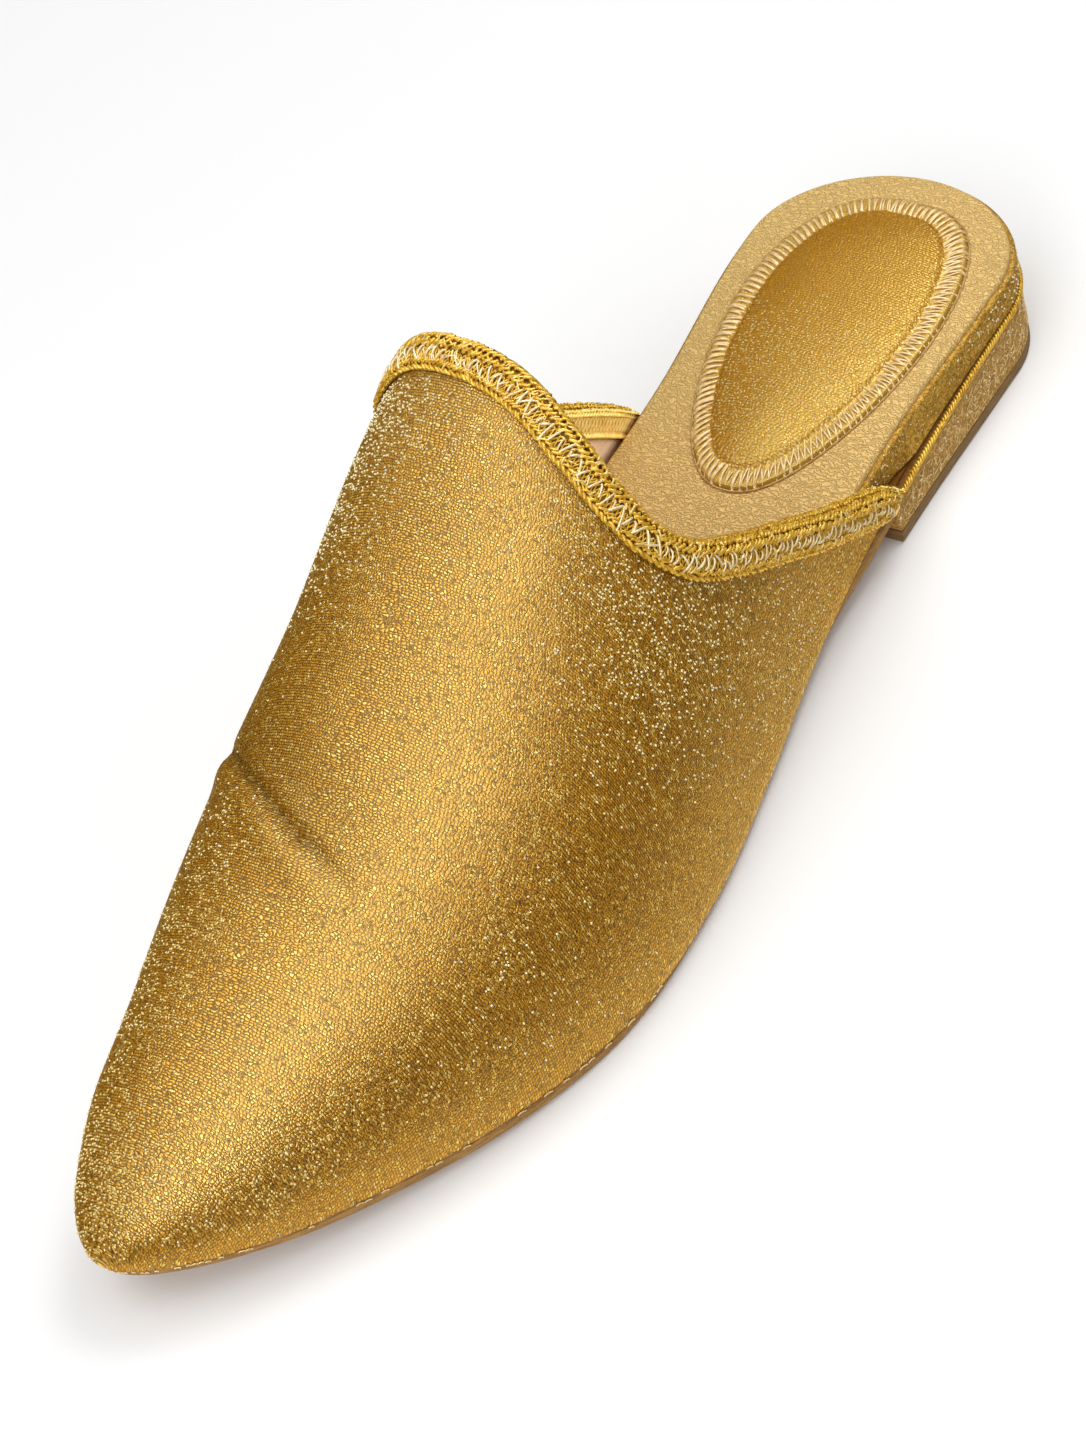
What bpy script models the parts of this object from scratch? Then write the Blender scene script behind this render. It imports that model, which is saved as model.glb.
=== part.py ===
"""A left babouche: a backless slipper with a pointed toe, a high instep peak and a low heel.

The solids are in metres. +X points to the toe, +Y to the outer side of the left foot and +Z up. Shapes are
worked out along the foot from the back of the heel. The whole shoe is then moved so that the origin is on the
floor under its middle.
"""

import math

import bmesh
import bpy
import numpy as np

MM = 0.001

# Driving sizes
SHOE_LENGTH = 261.6 * MM
HEEL_ROUND = 23 * MM
TOE_PLAN_ROUND = 24 * MM
TOE_TOP_ROUND = 26 * MM
HEEL_BREAST = 70 * MM
GAP = 0.3 * MM

# Wall and layer thicknesses
UPPER_WALL = 2 * MM
SOLE_THICKNESS = 2.9 * MM
TOP_LIFT_THICKNESS = 2.6 * MM
SOCK_THICKNESS = 1 * MM

# How far pieces stand in from, or out of, the line where the upper meets the sole
SOLE_OUTSET = 0.3 * MM
HEEL_BASE_OUTSET = 0.4 * MM
HEEL_REBATE = 1.4 * MM
BED_EDGE_BEVEL = 0.7 * MM
SOCK_INSET = 0.3 * MM
EDGE_BEVEL = 0.4 * MM

# Braid folded over the top edge. Its inner leg is tucked to a small share of its size at both ends, over a
# reach that is a share of the way round the upper.
BRAID_WIDTH = 5.5 * MM
BRAID_THICKNESS = 1.1 * MM
BRAID_CREST = 0.45 * MM
BRAID_FOLD = 0.6
BRAID_TUCK = 0.15
BRAID_TUCK_REACH = 0.05

# Cord on the heel's top edge
CORD_RADIUS = 0.7 * MM
CORD_OUTSET = 0.15 * MM
CORD_DROP = 0.6 * MM
CORD_END = 63 * MM
CORD_ROUNDNESS = 2

# Pad under the wearer's heel: a teardrop, round at the back and narrow at the front
PAD_BACK = 8.5 * MM
PAD_FRONT = 82 * MM
PAD_HALF_WIDTH = 20.6 * MM
PAD_CENTRE = 0.8 * MM
PAD_WIDEST = 0.40
PAD_ROUNDNESS = 0.45
PAD_RISE = 3.2 * MM

# Fineness of the faceted solids
UPPER_STEPS_ALONG = 32
UPPER_STEPS_ROUND = 40
TOE_STEP_POWER = 1.7
SOLE_STEPS = 26
BED_STEPS = 32
HEEL_STEPS = 16
BRAID_STEPS = 60
CORD_STEPS = 22
PAD_STEPS = 16
SHARP_ANGLE = math.radians(40)

# Distances for joining points and for finding slopes
SAME_PLACE = 0.01 * MM
MERGE_DISTANCE = 0.0001 * MM
NUDGE_X = 0.2 * MM
NUDGE_AROUND = 0.001
NUDGE_ALONG = 0.0001

# Sections of the last in millimetres. x runs from the back of the heel, half_width is at the sole, ridge is the
# highest line of the upper, bulge is how far the wall swells over the sole. Behind the collar the ridge rows
# only steer the slope of the side walls.
LAST_COLUMNS = ("x", "centre", "half_width", "sole_z", "bed_inset", "bed_thickness", "ridge_y", "ridge_z", "bulge")
LAST = np.array([
    (0, -0.1, 27.1, 12.1, -0.4, 6.0, -3.0, 101, 0.8),
    (30, -0.1, 27.5, 11.3, 0.2, 6.0, -4.0, 100, 0.8),
    (66, 0.3, 27.8, 7.7, 2.8, 5.9, -6.0, 98, 0.8),
    (100, 0.2, 30.2, 3.0, 3.0, 5.2, -8.0, 90, 0.8),
    (130, 0.6, 35.4, 0.5, 2.6, 4.0, -8.0, 78, 1.0),
    (155, 0.8, 39.6, -0.2, 2.6, 3.2, -6.8, 64.5, 1.4),
    (180, 1.0, 39.9, -0.2, 2.6, 3.0, -5.0, 52, 1.8),
    (205, 0.7, 33.7, 0.9, 2.6, 3.0, -4.0, 42, 2.2),
    (230, -1.6, 24.0, 3.3, 2.6, 3.0, -5.0, 33, 2.0),
    (247, -4.5, 17.4, 5.8, 2.6, 3.0, -7.0, 27.5, 1.5),
    (262, -7.6, 13.5, 8.6, 2.6, 3.0, -8.0, 25, 1.0),
])

# How square a section is on each side: 2 is an ellipse, larger is fuller. x is in millimetres.
FULLNESS_COLUMNS = ("x", "lateral", "medial")
FULLNESS = np.array([
    (0, 2.2, 2.6),
    (66, 2.2, 2.9),
    (100, 2.2, 3.0),
    (130, 2.2, 2.9),
    (160, 2.3, 2.2),
    (180, 2.3, 2.15),
    (205, 2.3, 2.3),
    (262, 2.3, 2.3),
])

# The top edge of the upper. around runs from the sole on the lateral side (0) over the ridge (0.5) to the sole
# on the medial side (1), x is in millimetres.
TOPLINE_COLUMNS = ("around", "x")
TOPLINE = np.array([
    (0.00, 68),
    (0.025, 78),
    (0.055, 89),
    (0.10, 102.5),
    (0.15, 115),
    (0.20, 124.5),
    (0.25, 129),
    (0.30, 129.3),
    (0.36, 127.2),
    (0.43, 124),
    (0.50, 122.2),
    (0.58, 121.8),
    (0.66, 122.2),
    (0.73, 122.8),
    (0.80, 119),
    (0.86, 110.5),
    (0.91, 100.4),
    (0.95, 88.7),
    (0.98, 77),
    (1.00, 68),
])

# Sections of the braid: down is in braid widths below the top edge, thick in braid thicknesses and crest in crest
# heights off the upper. The outer leg has a crest along each border.
OUTER_LEG = ((1, 0, 0), (1, 0.5, 0), (0.78, 1, 1), (0.48, 1, 0), (0.18, 1, 1))
INNER_LEG = ((0.18, 1, 1), (0.78, 1, 0), (1, 0.5, 0), (1, 0, 0))

# Section of the pad: inset is a share of its half width and rise a share of its height
PAD_PROFILE = ((0, 0), (0, 0.31), (0.10, 0.62), (0.24, 0.82), (0.45, 0.95), (0.72, 1))

# Looks of each piece: colour, roughness, metallic
FINISHES = {
    "outsole": ((0.36, 0.22, 0.10), 0.6, 0),
    "heel_block": ((0.52, 0.36, 0.15), 0.5, 0.5),
    "heel_top_lift": ((0.30, 0.18, 0.08), 0.65, 0),
    "heel_cord": ((0.85, 0.64, 0.20), 0.3, 0.8),
    "footbed": ((0.55, 0.37, 0.13), 0.5, 0.5),
    "insole_sock": ((0.66, 0.48, 0.22), 0.6, 0.2),
    "heel_pad": ((0.70, 0.46, 0.12), 0.4, 0.5),
    "upper": ((0.62, 0.42, 0.11), 0.38, 0.7),
    "topline_braid": ((0.75, 0.55, 0.16), 0.35, 0.7),
}


def smooth(stations, values, at):
    """Values at the given places on a smooth curve through the rows of a table."""
    at = np.asarray(at, float)
    slopes = np.gradient(values, stations)
    row = np.clip(np.searchsorted(stations, at) - 1, 0, len(stations) - 2)
    step = stations[row + 1] - stations[row]
    t = (at - stations[row]) / step
    start, end = values[row], values[row + 1]
    leave, arrive = slopes[row] * step, slopes[row + 1] * step
    bend = 3 * (end - start) - 2 * leave - arrive
    twist = 2 * (start - end) + leave + arrive
    return start + leave * t + bend * t**2 + twist * t**3


def last(name, x):
    """A size from the table of sections, in metres."""
    return smooth(LAST[:, LAST_COLUMNS.index("x")] * MM, LAST[:, LAST_COLUMNS.index(name)] * MM, x)


def fullness(name, x):
    return smooth(FULLNESS[:, FULLNESS_COLUMNS.index("x")] * MM, FULLNESS[:, FULLNESS_COLUMNS.index(name)], x)


def topline_x(around):
    stations = TOPLINE[:, TOPLINE_COLUMNS.index("around")]
    return smooth(stations, TOPLINE[:, TOPLINE_COLUMNS.index("x")] * MM, around)


def quarter_round(distance, reach):
    """1 away from an end, falling to 0 along a quarter of an ellipse over the last stretch before it."""
    t = np.clip(1 - np.asarray(distance, float) / reach, 0, 1)
    return np.sqrt(np.maximum(1 - t**2, 0))


def ease(t):
    """0 to 1 with a soft start and end."""
    t = np.clip(t, 0, 1)
    return t * t * (3 - 2 * t)


def half_width(x):
    rounded = quarter_round(x, HEEL_ROUND) * quarter_round(SHOE_LENGTH - x, TOE_PLAN_ROUND)
    return last("half_width", x) * rounded


def sole_underside(x):
    """Flat on the floor under the ball of the foot, rising to the heel and to the toe."""
    return np.maximum(last("sole_z", x), 0)


def seat(x):
    """Top of the outsole and of the heel block."""
    return sole_underside(x) + SOLE_THICKNESS


def bed_top(x):
    return seat(x) + GAP + last("bed_thickness", x)


def sock_top(x):
    return bed_top(x) + GAP + SOCK_THICKNESS


def upper_surface(x, around):
    """Outer face of the upper: a rounded arch at each place along the foot."""
    x, around = np.broadcast_arrays(np.asarray(x, float), np.asarray(around, float))
    lateral = around <= 0.5
    side = np.where(lateral, 1.0, -1.0)
    angle = np.pi * np.where(lateral, around, 1 - around)
    toe = quarter_round(SHOE_LENGTH - x, TOE_PLAN_ROUND)
    centre = last("centre", x)
    ridge_y = centre + (last("ridge_y", x) - centre) * toe
    reach = centre + side * half_width(x) - ridge_y
    power = 2 / np.where(lateral, fullness("lateral", x), fullness("medial", x))
    across = np.maximum(np.cos(angle), 0) ** power
    rise = np.maximum(np.sin(angle), 0) ** power
    swell = side * last("bulge", x) * toe * np.sin(2 * angle)
    bottom = seat(x) + GAP
    height = (last("ridge_z", x) - bottom) * quarter_round(SHOE_LENGTH - x, TOE_TOP_ROUND)
    return np.stack([x, ridge_y + reach * across + swell, bottom + height * rise], -1)


def outward(x, around):
    """Unit normals of the upper's outer face at given places, found from small steps on it."""
    turn = np.clip(around, NUDGE_AROUND, 1 - NUDGE_AROUND)
    along = upper_surface(x + NUDGE_X, turn) - upper_surface(x - NUDGE_X, turn)
    over = upper_surface(x, turn + NUDGE_AROUND) - upper_surface(x, turn - NUDGE_AROUND)
    normals = np.cross(over, along)
    return normals / np.linalg.norm(normals, axis=-1, keepdims=True)


def side_point(t, side):
    """Plan point where the upper meets the sole, t running from the heel (0) to the toe (1)."""
    x = SHOE_LENGTH * (1 - math.cos(math.pi * t)) / 2
    return np.array([x, last("centre", x) + side * half_width(x)])


def edge_point(t, side, outset):
    """Plan point on one side of the shoe, moved square to the edge by the outset."""
    point = side_point(t, side)
    tangent = side_point(min(t + NUDGE_ALONG, 1), side) - side_point(max(t - NUDGE_ALONG, 0), side)
    normal = side * np.array([-tangent[1], tangent[0]]) / np.linalg.norm(tangent)
    return point + normal * outset(point[0])


def along_at(x):
    """The t of side_point at a distance from the back of the heel."""
    return math.acos(1 - 2 * x / SHOE_LENGTH) / math.pi


def shoe_outline(start_x, end_x, steps, outset):
    """Points of both sides between two places along the foot: lateral and medial lists of the same length."""
    stations = np.linspace(along_at(start_x), along_at(end_x), steps + 1)
    return [[edge_point(t, side, outset) for t in stations] for side in (1, -1)]


def pad_outline(inset):
    """Both sides of the teardrop pad, drawn in from its edge."""
    length = PAD_FRONT - PAD_BACK - 2 * inset
    lateral, medial = [], []
    for t in np.linspace(0, math.pi, PAD_STEPS + 1):
        along = (1 - math.cos(t)) / 2
        lean = along ** (math.log(0.5) / math.log(PAD_WIDEST))
        half = (PAD_HALF_WIDTH - inset) * max(math.sin(math.pi * lean), 0) ** PAD_ROUNDNESS
        x = PAD_BACK + inset + length * along
        lateral.append(np.array([x, PAD_CENTRE + half]))
        medial.append(np.array([x, PAD_CENTRE - half]))
    return lateral, medial


def constant(value):
    return lambda x: value


def above(height, rise):
    return lambda x: height(x) + rise


def bed_edge(inset):
    """Outset of a layer on the footbed, drawn in from the footbed's own edge."""
    return lambda x: -last("bed_inset", x) - inset


def finish_object(name, build, parent):
    """Closes a bmesh into a named object with its own material."""
    bmesh.ops.remove_doubles(build, verts=build.verts, dist=MERGE_DISTANCE)
    bmesh.ops.recalc_face_normals(build, faces=build.faces)
    mesh = bpy.data.meshes.new(name)
    build.to_mesh(mesh)
    build.free()
    mesh.shade_smooth()
    mesh.set_sharp_from_angle(angle=SHARP_ANGLE)
    colour, roughness, metallic = FINISHES[name]
    material = bpy.data.materials.new(name)
    material.use_nodes = True
    shader = material.node_tree.nodes["Principled BSDF"]
    shader.inputs["Base Color"].default_value = (*colour, 1)
    shader.inputs["Roughness"].default_value = roughness
    shader.inputs["Metallic"].default_value = metallic
    mesh.materials.append(material)
    piece = bpy.data.objects.new(name, mesh)
    bpy.context.scene.collection.objects.link(piece)
    piece.parent = parent


def distinct(verts):
    """The vertices in order, each only once."""
    return list(dict.fromkeys(verts))


def join_rows(build, rows, closed):
    """Quads between neighbouring rows of vertices, closed into a ring or open."""
    for lower, higher in zip(rows, rows[1:]):
        count = len(lower)
        for i in range(count if closed else count - 1):
            j = (i + 1) % count
            corners = distinct([lower[i], lower[j], higher[j], higher[i]])
            if len(corners) > 2:
                build.faces.new(corners)


def plate(layers):
    """A closed body from stacked outlines. Each layer is (lateral points, medial points, height at x)."""
    build = bmesh.new()
    rings, sides = [], []
    for lateral, medial, height in layers:
        left = [build.verts.new((p[0], p[1], float(height(p[0])))) for p in lateral]
        right = [build.verts.new((p[0], p[1], float(height(p[0])))) for p in medial]
        for end in (0, -1):
            if np.linalg.norm(lateral[end] - medial[end]) < SAME_PLACE:
                build.verts.remove(right[end])
                right[end] = left[end]
        rings.append(distinct(left + right[::-1]))
        sides.append((left, right))
    join_rows(build, rings, closed=True)
    join_rows(build, sides[0], closed=False)
    join_rows(build, sides[-1], closed=False)
    return build


def shoe_plate(start_x, end_x, steps, layers):
    """A plate with the shoe's own outline. Each layer is (outset at x, height at x)."""
    return plate([(*shoe_outline(start_x, end_x, steps, outset), height) for outset, height in layers])


def make_outsole(parent):
    layers = [
        (constant(SOLE_OUTSET - EDGE_BEVEL), sole_underside),
        (constant(SOLE_OUTSET), above(sole_underside, EDGE_BEVEL)),
        (constant(SOLE_OUTSET), above(seat, -EDGE_BEVEL)),
        (constant(SOLE_OUTSET - EDGE_BEVEL), seat),
    ]
    build = shoe_plate(HEEL_BREAST + GAP, SHOE_LENGTH, SOLE_STEPS, layers)
    finish_object("outsole", build, parent)


def make_heel_block(parent):
    """A D-shaped block with a step under its top edge, where the cord lies."""
    layers = [
        (constant(HEEL_BASE_OUTSET), constant(TOP_LIFT_THICKNESS + GAP)),
        (constant(0), above(seat, -HEEL_REBATE - EDGE_BEVEL)),
        (constant(-HEEL_REBATE), above(seat, -EDGE_BEVEL)),
        (constant(-HEEL_REBATE), seat),
    ]
    finish_object("heel_block", shoe_plate(0, HEEL_BREAST, HEEL_STEPS, layers), parent)


def make_heel_top_lift(parent):
    layers = [
        (constant(HEEL_BASE_OUTSET - EDGE_BEVEL), constant(0)),
        (constant(HEEL_BASE_OUTSET), constant(EDGE_BEVEL)),
        (constant(HEEL_BASE_OUTSET), constant(TOP_LIFT_THICKNESS)),
    ]
    finish_object("heel_top_lift", shoe_plate(0, HEEL_BREAST, HEEL_STEPS, layers), parent)


def make_footbed(parent):
    layers = [
        (bed_edge(0), above(seat, GAP)),
        (bed_edge(0), above(bed_top, -BED_EDGE_BEVEL)),
        (bed_edge(BED_EDGE_BEVEL), bed_top),
    ]
    finish_object("footbed", shoe_plate(0, SHOE_LENGTH, BED_STEPS, layers), parent)


def make_insole_sock(parent):
    inset = BED_EDGE_BEVEL + SOCK_INSET
    layers = [
        (bed_edge(inset), above(bed_top, GAP)),
        (bed_edge(inset), above(sock_top, -EDGE_BEVEL)),
        (bed_edge(inset + EDGE_BEVEL), sock_top),
    ]
    finish_object("insole_sock", shoe_plate(0, SHOE_LENGTH, BED_STEPS, layers), parent)


def make_heel_pad(parent):
    layers = []
    for inset, rise in PAD_PROFILE:
        layers.append((*pad_outline(inset * PAD_HALF_WIDTH), above(sock_top, GAP + rise * PAD_RISE)))
    finish_object("heel_pad", plate(layers), parent)


def make_upper(parent):
    """A grid from the top edge to the toe tip, thickened inwards and closed along its edge."""
    along = 1 - (1 - np.linspace(0, 1, UPPER_STEPS_ALONG + 1)) ** TOE_STEP_POWER
    around = np.linspace(0, 1, UPPER_STEPS_ROUND + 1)
    start = topline_x(around)
    x = start + (SHOE_LENGTH - start) * along[:-1, None]
    outer = upper_surface(x, around[None, :])
    inner = outer - outward(x, around[None, :]) * UPPER_WALL
    inner[:, (0, -1), 2] = outer[:, (0, -1), 2]
    tip = upper_surface(SHOE_LENGTH, 0)
    build = bmesh.new()
    skins = []
    for grid, tip_x in ((outer, SHOE_LENGTH), (inner, SHOE_LENGTH - UPPER_WALL)):
        rows = [[build.verts.new(point) for point in row] for row in grid]
        point = build.verts.new((tip_x, tip[1], tip[2]))
        rows.append([point] * len(around))
        join_rows(build, rows, closed=False)
        skins.append(rows)
    join_rows(build, [skins[0][0], skins[1][0]], closed=False)
    for side in (0, -1):
        join_rows(build, [[row[side] for row in skin] for skin in skins], closed=False)
    finish_object("upper", build, parent)


def slant(around):
    """Length along x for each unit of length straight down from the top edge."""
    x = topline_x(around)
    edge = upper_surface(x, around)
    along = (upper_surface(x + NUDGE_X, around) - edge) / NUDGE_X
    run = np.gradient(edge, around, axis=0)
    return np.linalg.norm(run, axis=1) / np.linalg.norm(np.cross(run, along), axis=1)


def braid_profile(tuck):
    """Points of the folded strip as (way down from the edge, height over the upper's outer face).

    The inner leg shrinks by tuck where the footbed lies against it.
    """
    half = BRAID_THICKNESS / 2
    inside = -UPPER_WALL - GAP
    over = -GAP - BRAID_THICKNESS * BRAID_FOLD
    outer = [
        (down * BRAID_WIDTH, GAP + thick * BRAID_THICKNESS + crest * BRAID_CREST)
        for down, thick, crest in OUTER_LEG
    ]
    fold = [(over, GAP + half), (-GAP - BRAID_THICKNESS, -UPPER_WALL / 2), (over, inside - half * tuck)]
    inner = [
        (down * BRAID_WIDTH * tuck, inside - (thick * BRAID_THICKNESS + crest * BRAID_CREST) * tuck)
        for down, thick, crest in INNER_LEG
    ]
    slot = [(-GAP, inside), (-GAP, GAP)]
    return outer + fold + inner + slot


def make_topline_braid(parent):
    """A strip folded over the top edge, swept along it from one side of the sole to the other."""
    around = np.linspace(0, 1, BRAID_STEPS + 1)
    to_end = np.minimum(around, 1 - around) / BRAID_TUCK_REACH
    tuck = BRAID_TUCK + (1 - BRAID_TUCK) * ease(to_end)
    profile = np.array([braid_profile(amount) for amount in tuck]).transpose(1, 0, 2)
    surface = upper_surface(topline_x(around) + profile[:, :, 0] * slant(around), around[None, :])
    points = surface + outward(surface[:, :, 0], around[None, :]) * profile[:, :, 1:]
    build = bmesh.new()
    rows = [[build.verts.new(point) for point in row] for row in points]
    join_rows(build, rows + rows[:1], closed=False)
    for end in (0, -1):
        build.faces.new([row[end] for row in rows])
    finish_object("topline_braid", build, parent)


def make_heel_cord(parent):
    """A tube round the heel along the top edge of its cover."""
    lateral, medial = shoe_outline(0, CORD_END, CORD_STEPS, constant(CORD_OUTSET))
    route = lateral[::-1] + medial[1:]
    curve = bpy.data.curves.new("heel_cord", "CURVE")
    curve.dimensions = "3D"
    curve.bevel_depth = CORD_RADIUS
    curve.bevel_resolution = CORD_ROUNDNESS
    curve.use_fill_caps = True
    spline = curve.splines.new("POLY")
    spline.points.add(len(route) - 1)
    for point, place in zip(spline.points, route):
        point.co = (place[0], place[1], float(seat(place[0])) - CORD_DROP, 1)
    guide = bpy.data.objects.new("heel_cord_guide", curve)
    bpy.context.scene.collection.objects.link(guide)
    build = bmesh.new()
    build.from_mesh(guide.to_mesh())
    bpy.data.objects.remove(guide)
    finish_object("heel_cord", build, parent)


def centre_on_origin(parent):
    """Moves the shoe so that the origin is on the floor under the middle of its box."""
    corners = np.array([v.co for piece in parent.children for v in piece.data.vertices])
    middle = (corners.min(axis=0) + corners.max(axis=0)) / 2
    parent.location = (-middle[0], -middle[1], 0)


def main():
    for leftover in list(bpy.data.objects):
        bpy.data.objects.remove(leftover)
    shoe = bpy.data.objects.new("babouche", None)
    bpy.context.scene.collection.objects.link(shoe)
    make_outsole(shoe)
    make_heel_block(shoe)
    make_heel_top_lift(shoe)
    make_heel_cord(shoe)
    make_footbed(shoe)
    make_insole_sock(shoe)
    make_heel_pad(shoe)
    make_upper(shoe)
    make_topline_braid(shoe)
    centre_on_origin(shoe)


main()
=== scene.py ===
"""Looks of a left babouche: gold cloth, braid, padded footbed and glitter heel on a pale floor.

Sizes are in metres. Shapes are worked out along the foot from the back of the heel, as the solids are, and
then moved by the solids' own shift. around runs from the sole on the lateral side (0) over the ridge (0.5)
to the sole on the medial side (1).
"""

import math

import bmesh
import bpy
import numpy as np
from mathutils import Matrix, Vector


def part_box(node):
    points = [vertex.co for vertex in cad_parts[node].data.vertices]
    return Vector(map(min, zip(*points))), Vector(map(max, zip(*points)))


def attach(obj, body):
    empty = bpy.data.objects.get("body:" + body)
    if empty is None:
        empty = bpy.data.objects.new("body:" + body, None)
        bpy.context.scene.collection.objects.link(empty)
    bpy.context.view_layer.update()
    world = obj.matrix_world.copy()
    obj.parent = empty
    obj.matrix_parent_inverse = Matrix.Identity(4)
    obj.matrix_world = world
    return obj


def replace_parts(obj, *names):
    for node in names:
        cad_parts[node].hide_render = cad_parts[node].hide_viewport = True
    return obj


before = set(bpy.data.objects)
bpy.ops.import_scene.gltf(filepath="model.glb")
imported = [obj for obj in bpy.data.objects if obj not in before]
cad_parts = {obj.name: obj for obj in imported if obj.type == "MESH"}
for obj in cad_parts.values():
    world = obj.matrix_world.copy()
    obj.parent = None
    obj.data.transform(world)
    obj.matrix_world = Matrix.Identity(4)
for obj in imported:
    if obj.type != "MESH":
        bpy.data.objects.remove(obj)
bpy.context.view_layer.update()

MM = 0.001
SEED = 11
UP = np.array([0.0, 0.0, 1.0])

# View of the photograph, which is 1086 pixels wide and 1448 high: angles in degrees, focal length and offset
# of the view's axis in its pixels
PHOTO_HEIGHT = 1448
CAMERA_ELEVATION = 45.1
CAMERA_AZIMUTH = 45.7
CAMERA_ROLL = -18.2
CAMERA_DISTANCE = 543.7 * MM
CAMERA_AIM = np.array([130, 0, 15]) * MM
CAMERA_FOCAL = 3142.6
CAMERA_OFFSET = (38.6, -48.8)
CAMERA_CLIP = 0.01
SENSOR_HEIGHT = 36

# Driving sizes, the same as those of the solids
SHOE_LENGTH = 261.6 * MM
HEEL_ROUND = 23 * MM
TOE_PLAN_ROUND = 24 * MM
TOE_TOP_ROUND = 26 * MM
HEEL_BREAST = 70 * MM
GAP = 0.3 * MM
UPPER_WALL = 2 * MM
SOLE_THICKNESS = 2.9 * MM
TOP_LIFT_THICKNESS = 2.6 * MM
SOCK_THICKNESS = 1 * MM
SOLE_OUTSET = 0.3 * MM
HEEL_BASE_OUTSET = 0.4 * MM
HEEL_REBATE = 1.4 * MM
BED_EDGE_BEVEL = 0.7 * MM
SOCK_INSET = 0.3 * MM
BRAID_WIDTH = 5.5 * MM
BRAID_TUCK = 0.15
BRAID_TUCK_REACH = 0.02
CORD_OUTSET = 0.15 * MM
CORD_DROP = 0.6 * MM
CORD_END = 67 * MM
PAD_BACK = 8.5 * MM
PAD_FRONT = 82 * MM
PAD_HALF_WIDTH = 20.6 * MM
PAD_CENTRE = 0.8 * MM
PAD_WIDEST = 0.40
PAD_ROUNDNESS = 0.45

# Distances for joining points and for finding slopes, and angles in degrees above which an edge is sharp
MERGE_DISTANCE = 0.001 * MM
NUDGE_X = 0.2 * MM
NUDGE_AROUND = 0.001
NUDGE_ALONG = 0.0001
NUDGE_TURN = 0.01
SHELL_SHARP = 50
PLATE_SHARP = 35
SOFT_SHARP = 60

# Sides of the tubes that cords, fine threads and fibres are made of
CORD_SIDES = 6
FINE_SIDES = 5
FIBRE_SIDES = 4

# Sections of the last in millimetres, as in the solids
LAST_COLUMNS = (
    "x", "centre", "half_width", "sole_z", "bed_inset", "bed_thickness", "ridge_y", "ridge_z", "bulge",
)
LAST = np.array([
    (0, -0.1, 27.1, 12.1, -0.4, 6.0, -3.0, 101, 0.8),
    (30, -0.1, 27.5, 11.3, 0.2, 6.0, -4.0, 100, 0.8),
    (66, 0.3, 27.8, 7.7, 2.8, 5.9, -6.0, 98, 0.8),
    (100, 0.2, 30.2, 3.0, 3.0, 5.2, -8.0, 90, 0.8),
    (130, 0.6, 35.4, 0.5, 2.6, 4.0, -8.0, 78, 1.0),
    (155, 0.8, 39.6, -0.2, 2.6, 3.2, -6.8, 64.5, 1.4),
    (180, 1.0, 39.9, -0.2, 2.6, 3.0, -5.0, 52, 1.8),
    (205, 0.7, 33.7, 0.9, 2.6, 3.0, -4.0, 42, 2.2),
    (230, -1.6, 24.0, 3.3, 2.6, 3.0, -5.0, 33, 2.0),
    (247, -4.5, 17.4, 5.8, 2.6, 3.0, -7.0, 27.5, 1.5),
    (262, -7.6, 13.5, 8.6, 2.6, 3.0, -8.0, 25, 1.0),
])
FULLNESS_COLUMNS = ("x", "lateral", "medial")
FULLNESS = np.array([
    (0, 2.2, 2.6),
    (66, 2.2, 2.9),
    (100, 2.2, 3.0),
    (130, 2.2, 2.9),
    (160, 2.3, 2.2),
    (180, 2.3, 2.15),
    (205, 2.3, 2.3),
    (262, 2.3, 2.3),
])
TOPLINE_COLUMNS = ("around", "x")
TOPLINE = np.array([
    (0.00, 68),
    (0.025, 78),
    (0.055, 89),
    (0.10, 102.5),
    (0.15, 115),
    (0.20, 124.5),
    (0.25, 129),
    (0.30, 129.3),
    (0.36, 127.2),
    (0.43, 124),
    (0.50, 122.2),
    (0.58, 121.8),
    (0.66, 122.2),
    (0.73, 122.8),
    (0.80, 119),
    (0.86, 110.5),
    (0.91, 100.4),
    (0.95, 88.7),
    (0.98, 77),
    (1.00, 68),
])

# Cloth of the upper and its lining: skins and the grids that they are made of
CLOTH_THICKNESS = 1 * MM
LINING_GAP = 0.05 * MM
CLOTH_ROWS = 170
CLOTH_COLUMNS = 221
LINING_ROWS = 70
LINING_COLUMNS = 111
TOE_STEP_POWER = 1.7
TIP_REACH = 0.02 * MM
RIDGE_POINTS = 2000
GIRTH_POINTS = 121
GIRTH_STATIONS = 80
GIRTH_START = HEEL_BREAST - 5 * MM

# The sole draws in under the cloth, less at the toes, and the cloth wraps down over its edge
SOLE_TUCK = 1.4 * MM
SOLE_TUCK_START = 78 * MM
SOLE_TUCK_REACH = 22 * MM
TOE_START = 162 * MM
TOE_REACH = 32 * MM
TOE_TUCK_LOSS = 0.65
SOLE_TIP_TUCK = 0.8 * MM
SOLE_TIP_START = 215 * MM
WRAP_DROP = 1.1 * MM
WRAP_LEAN = 0.3

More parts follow.
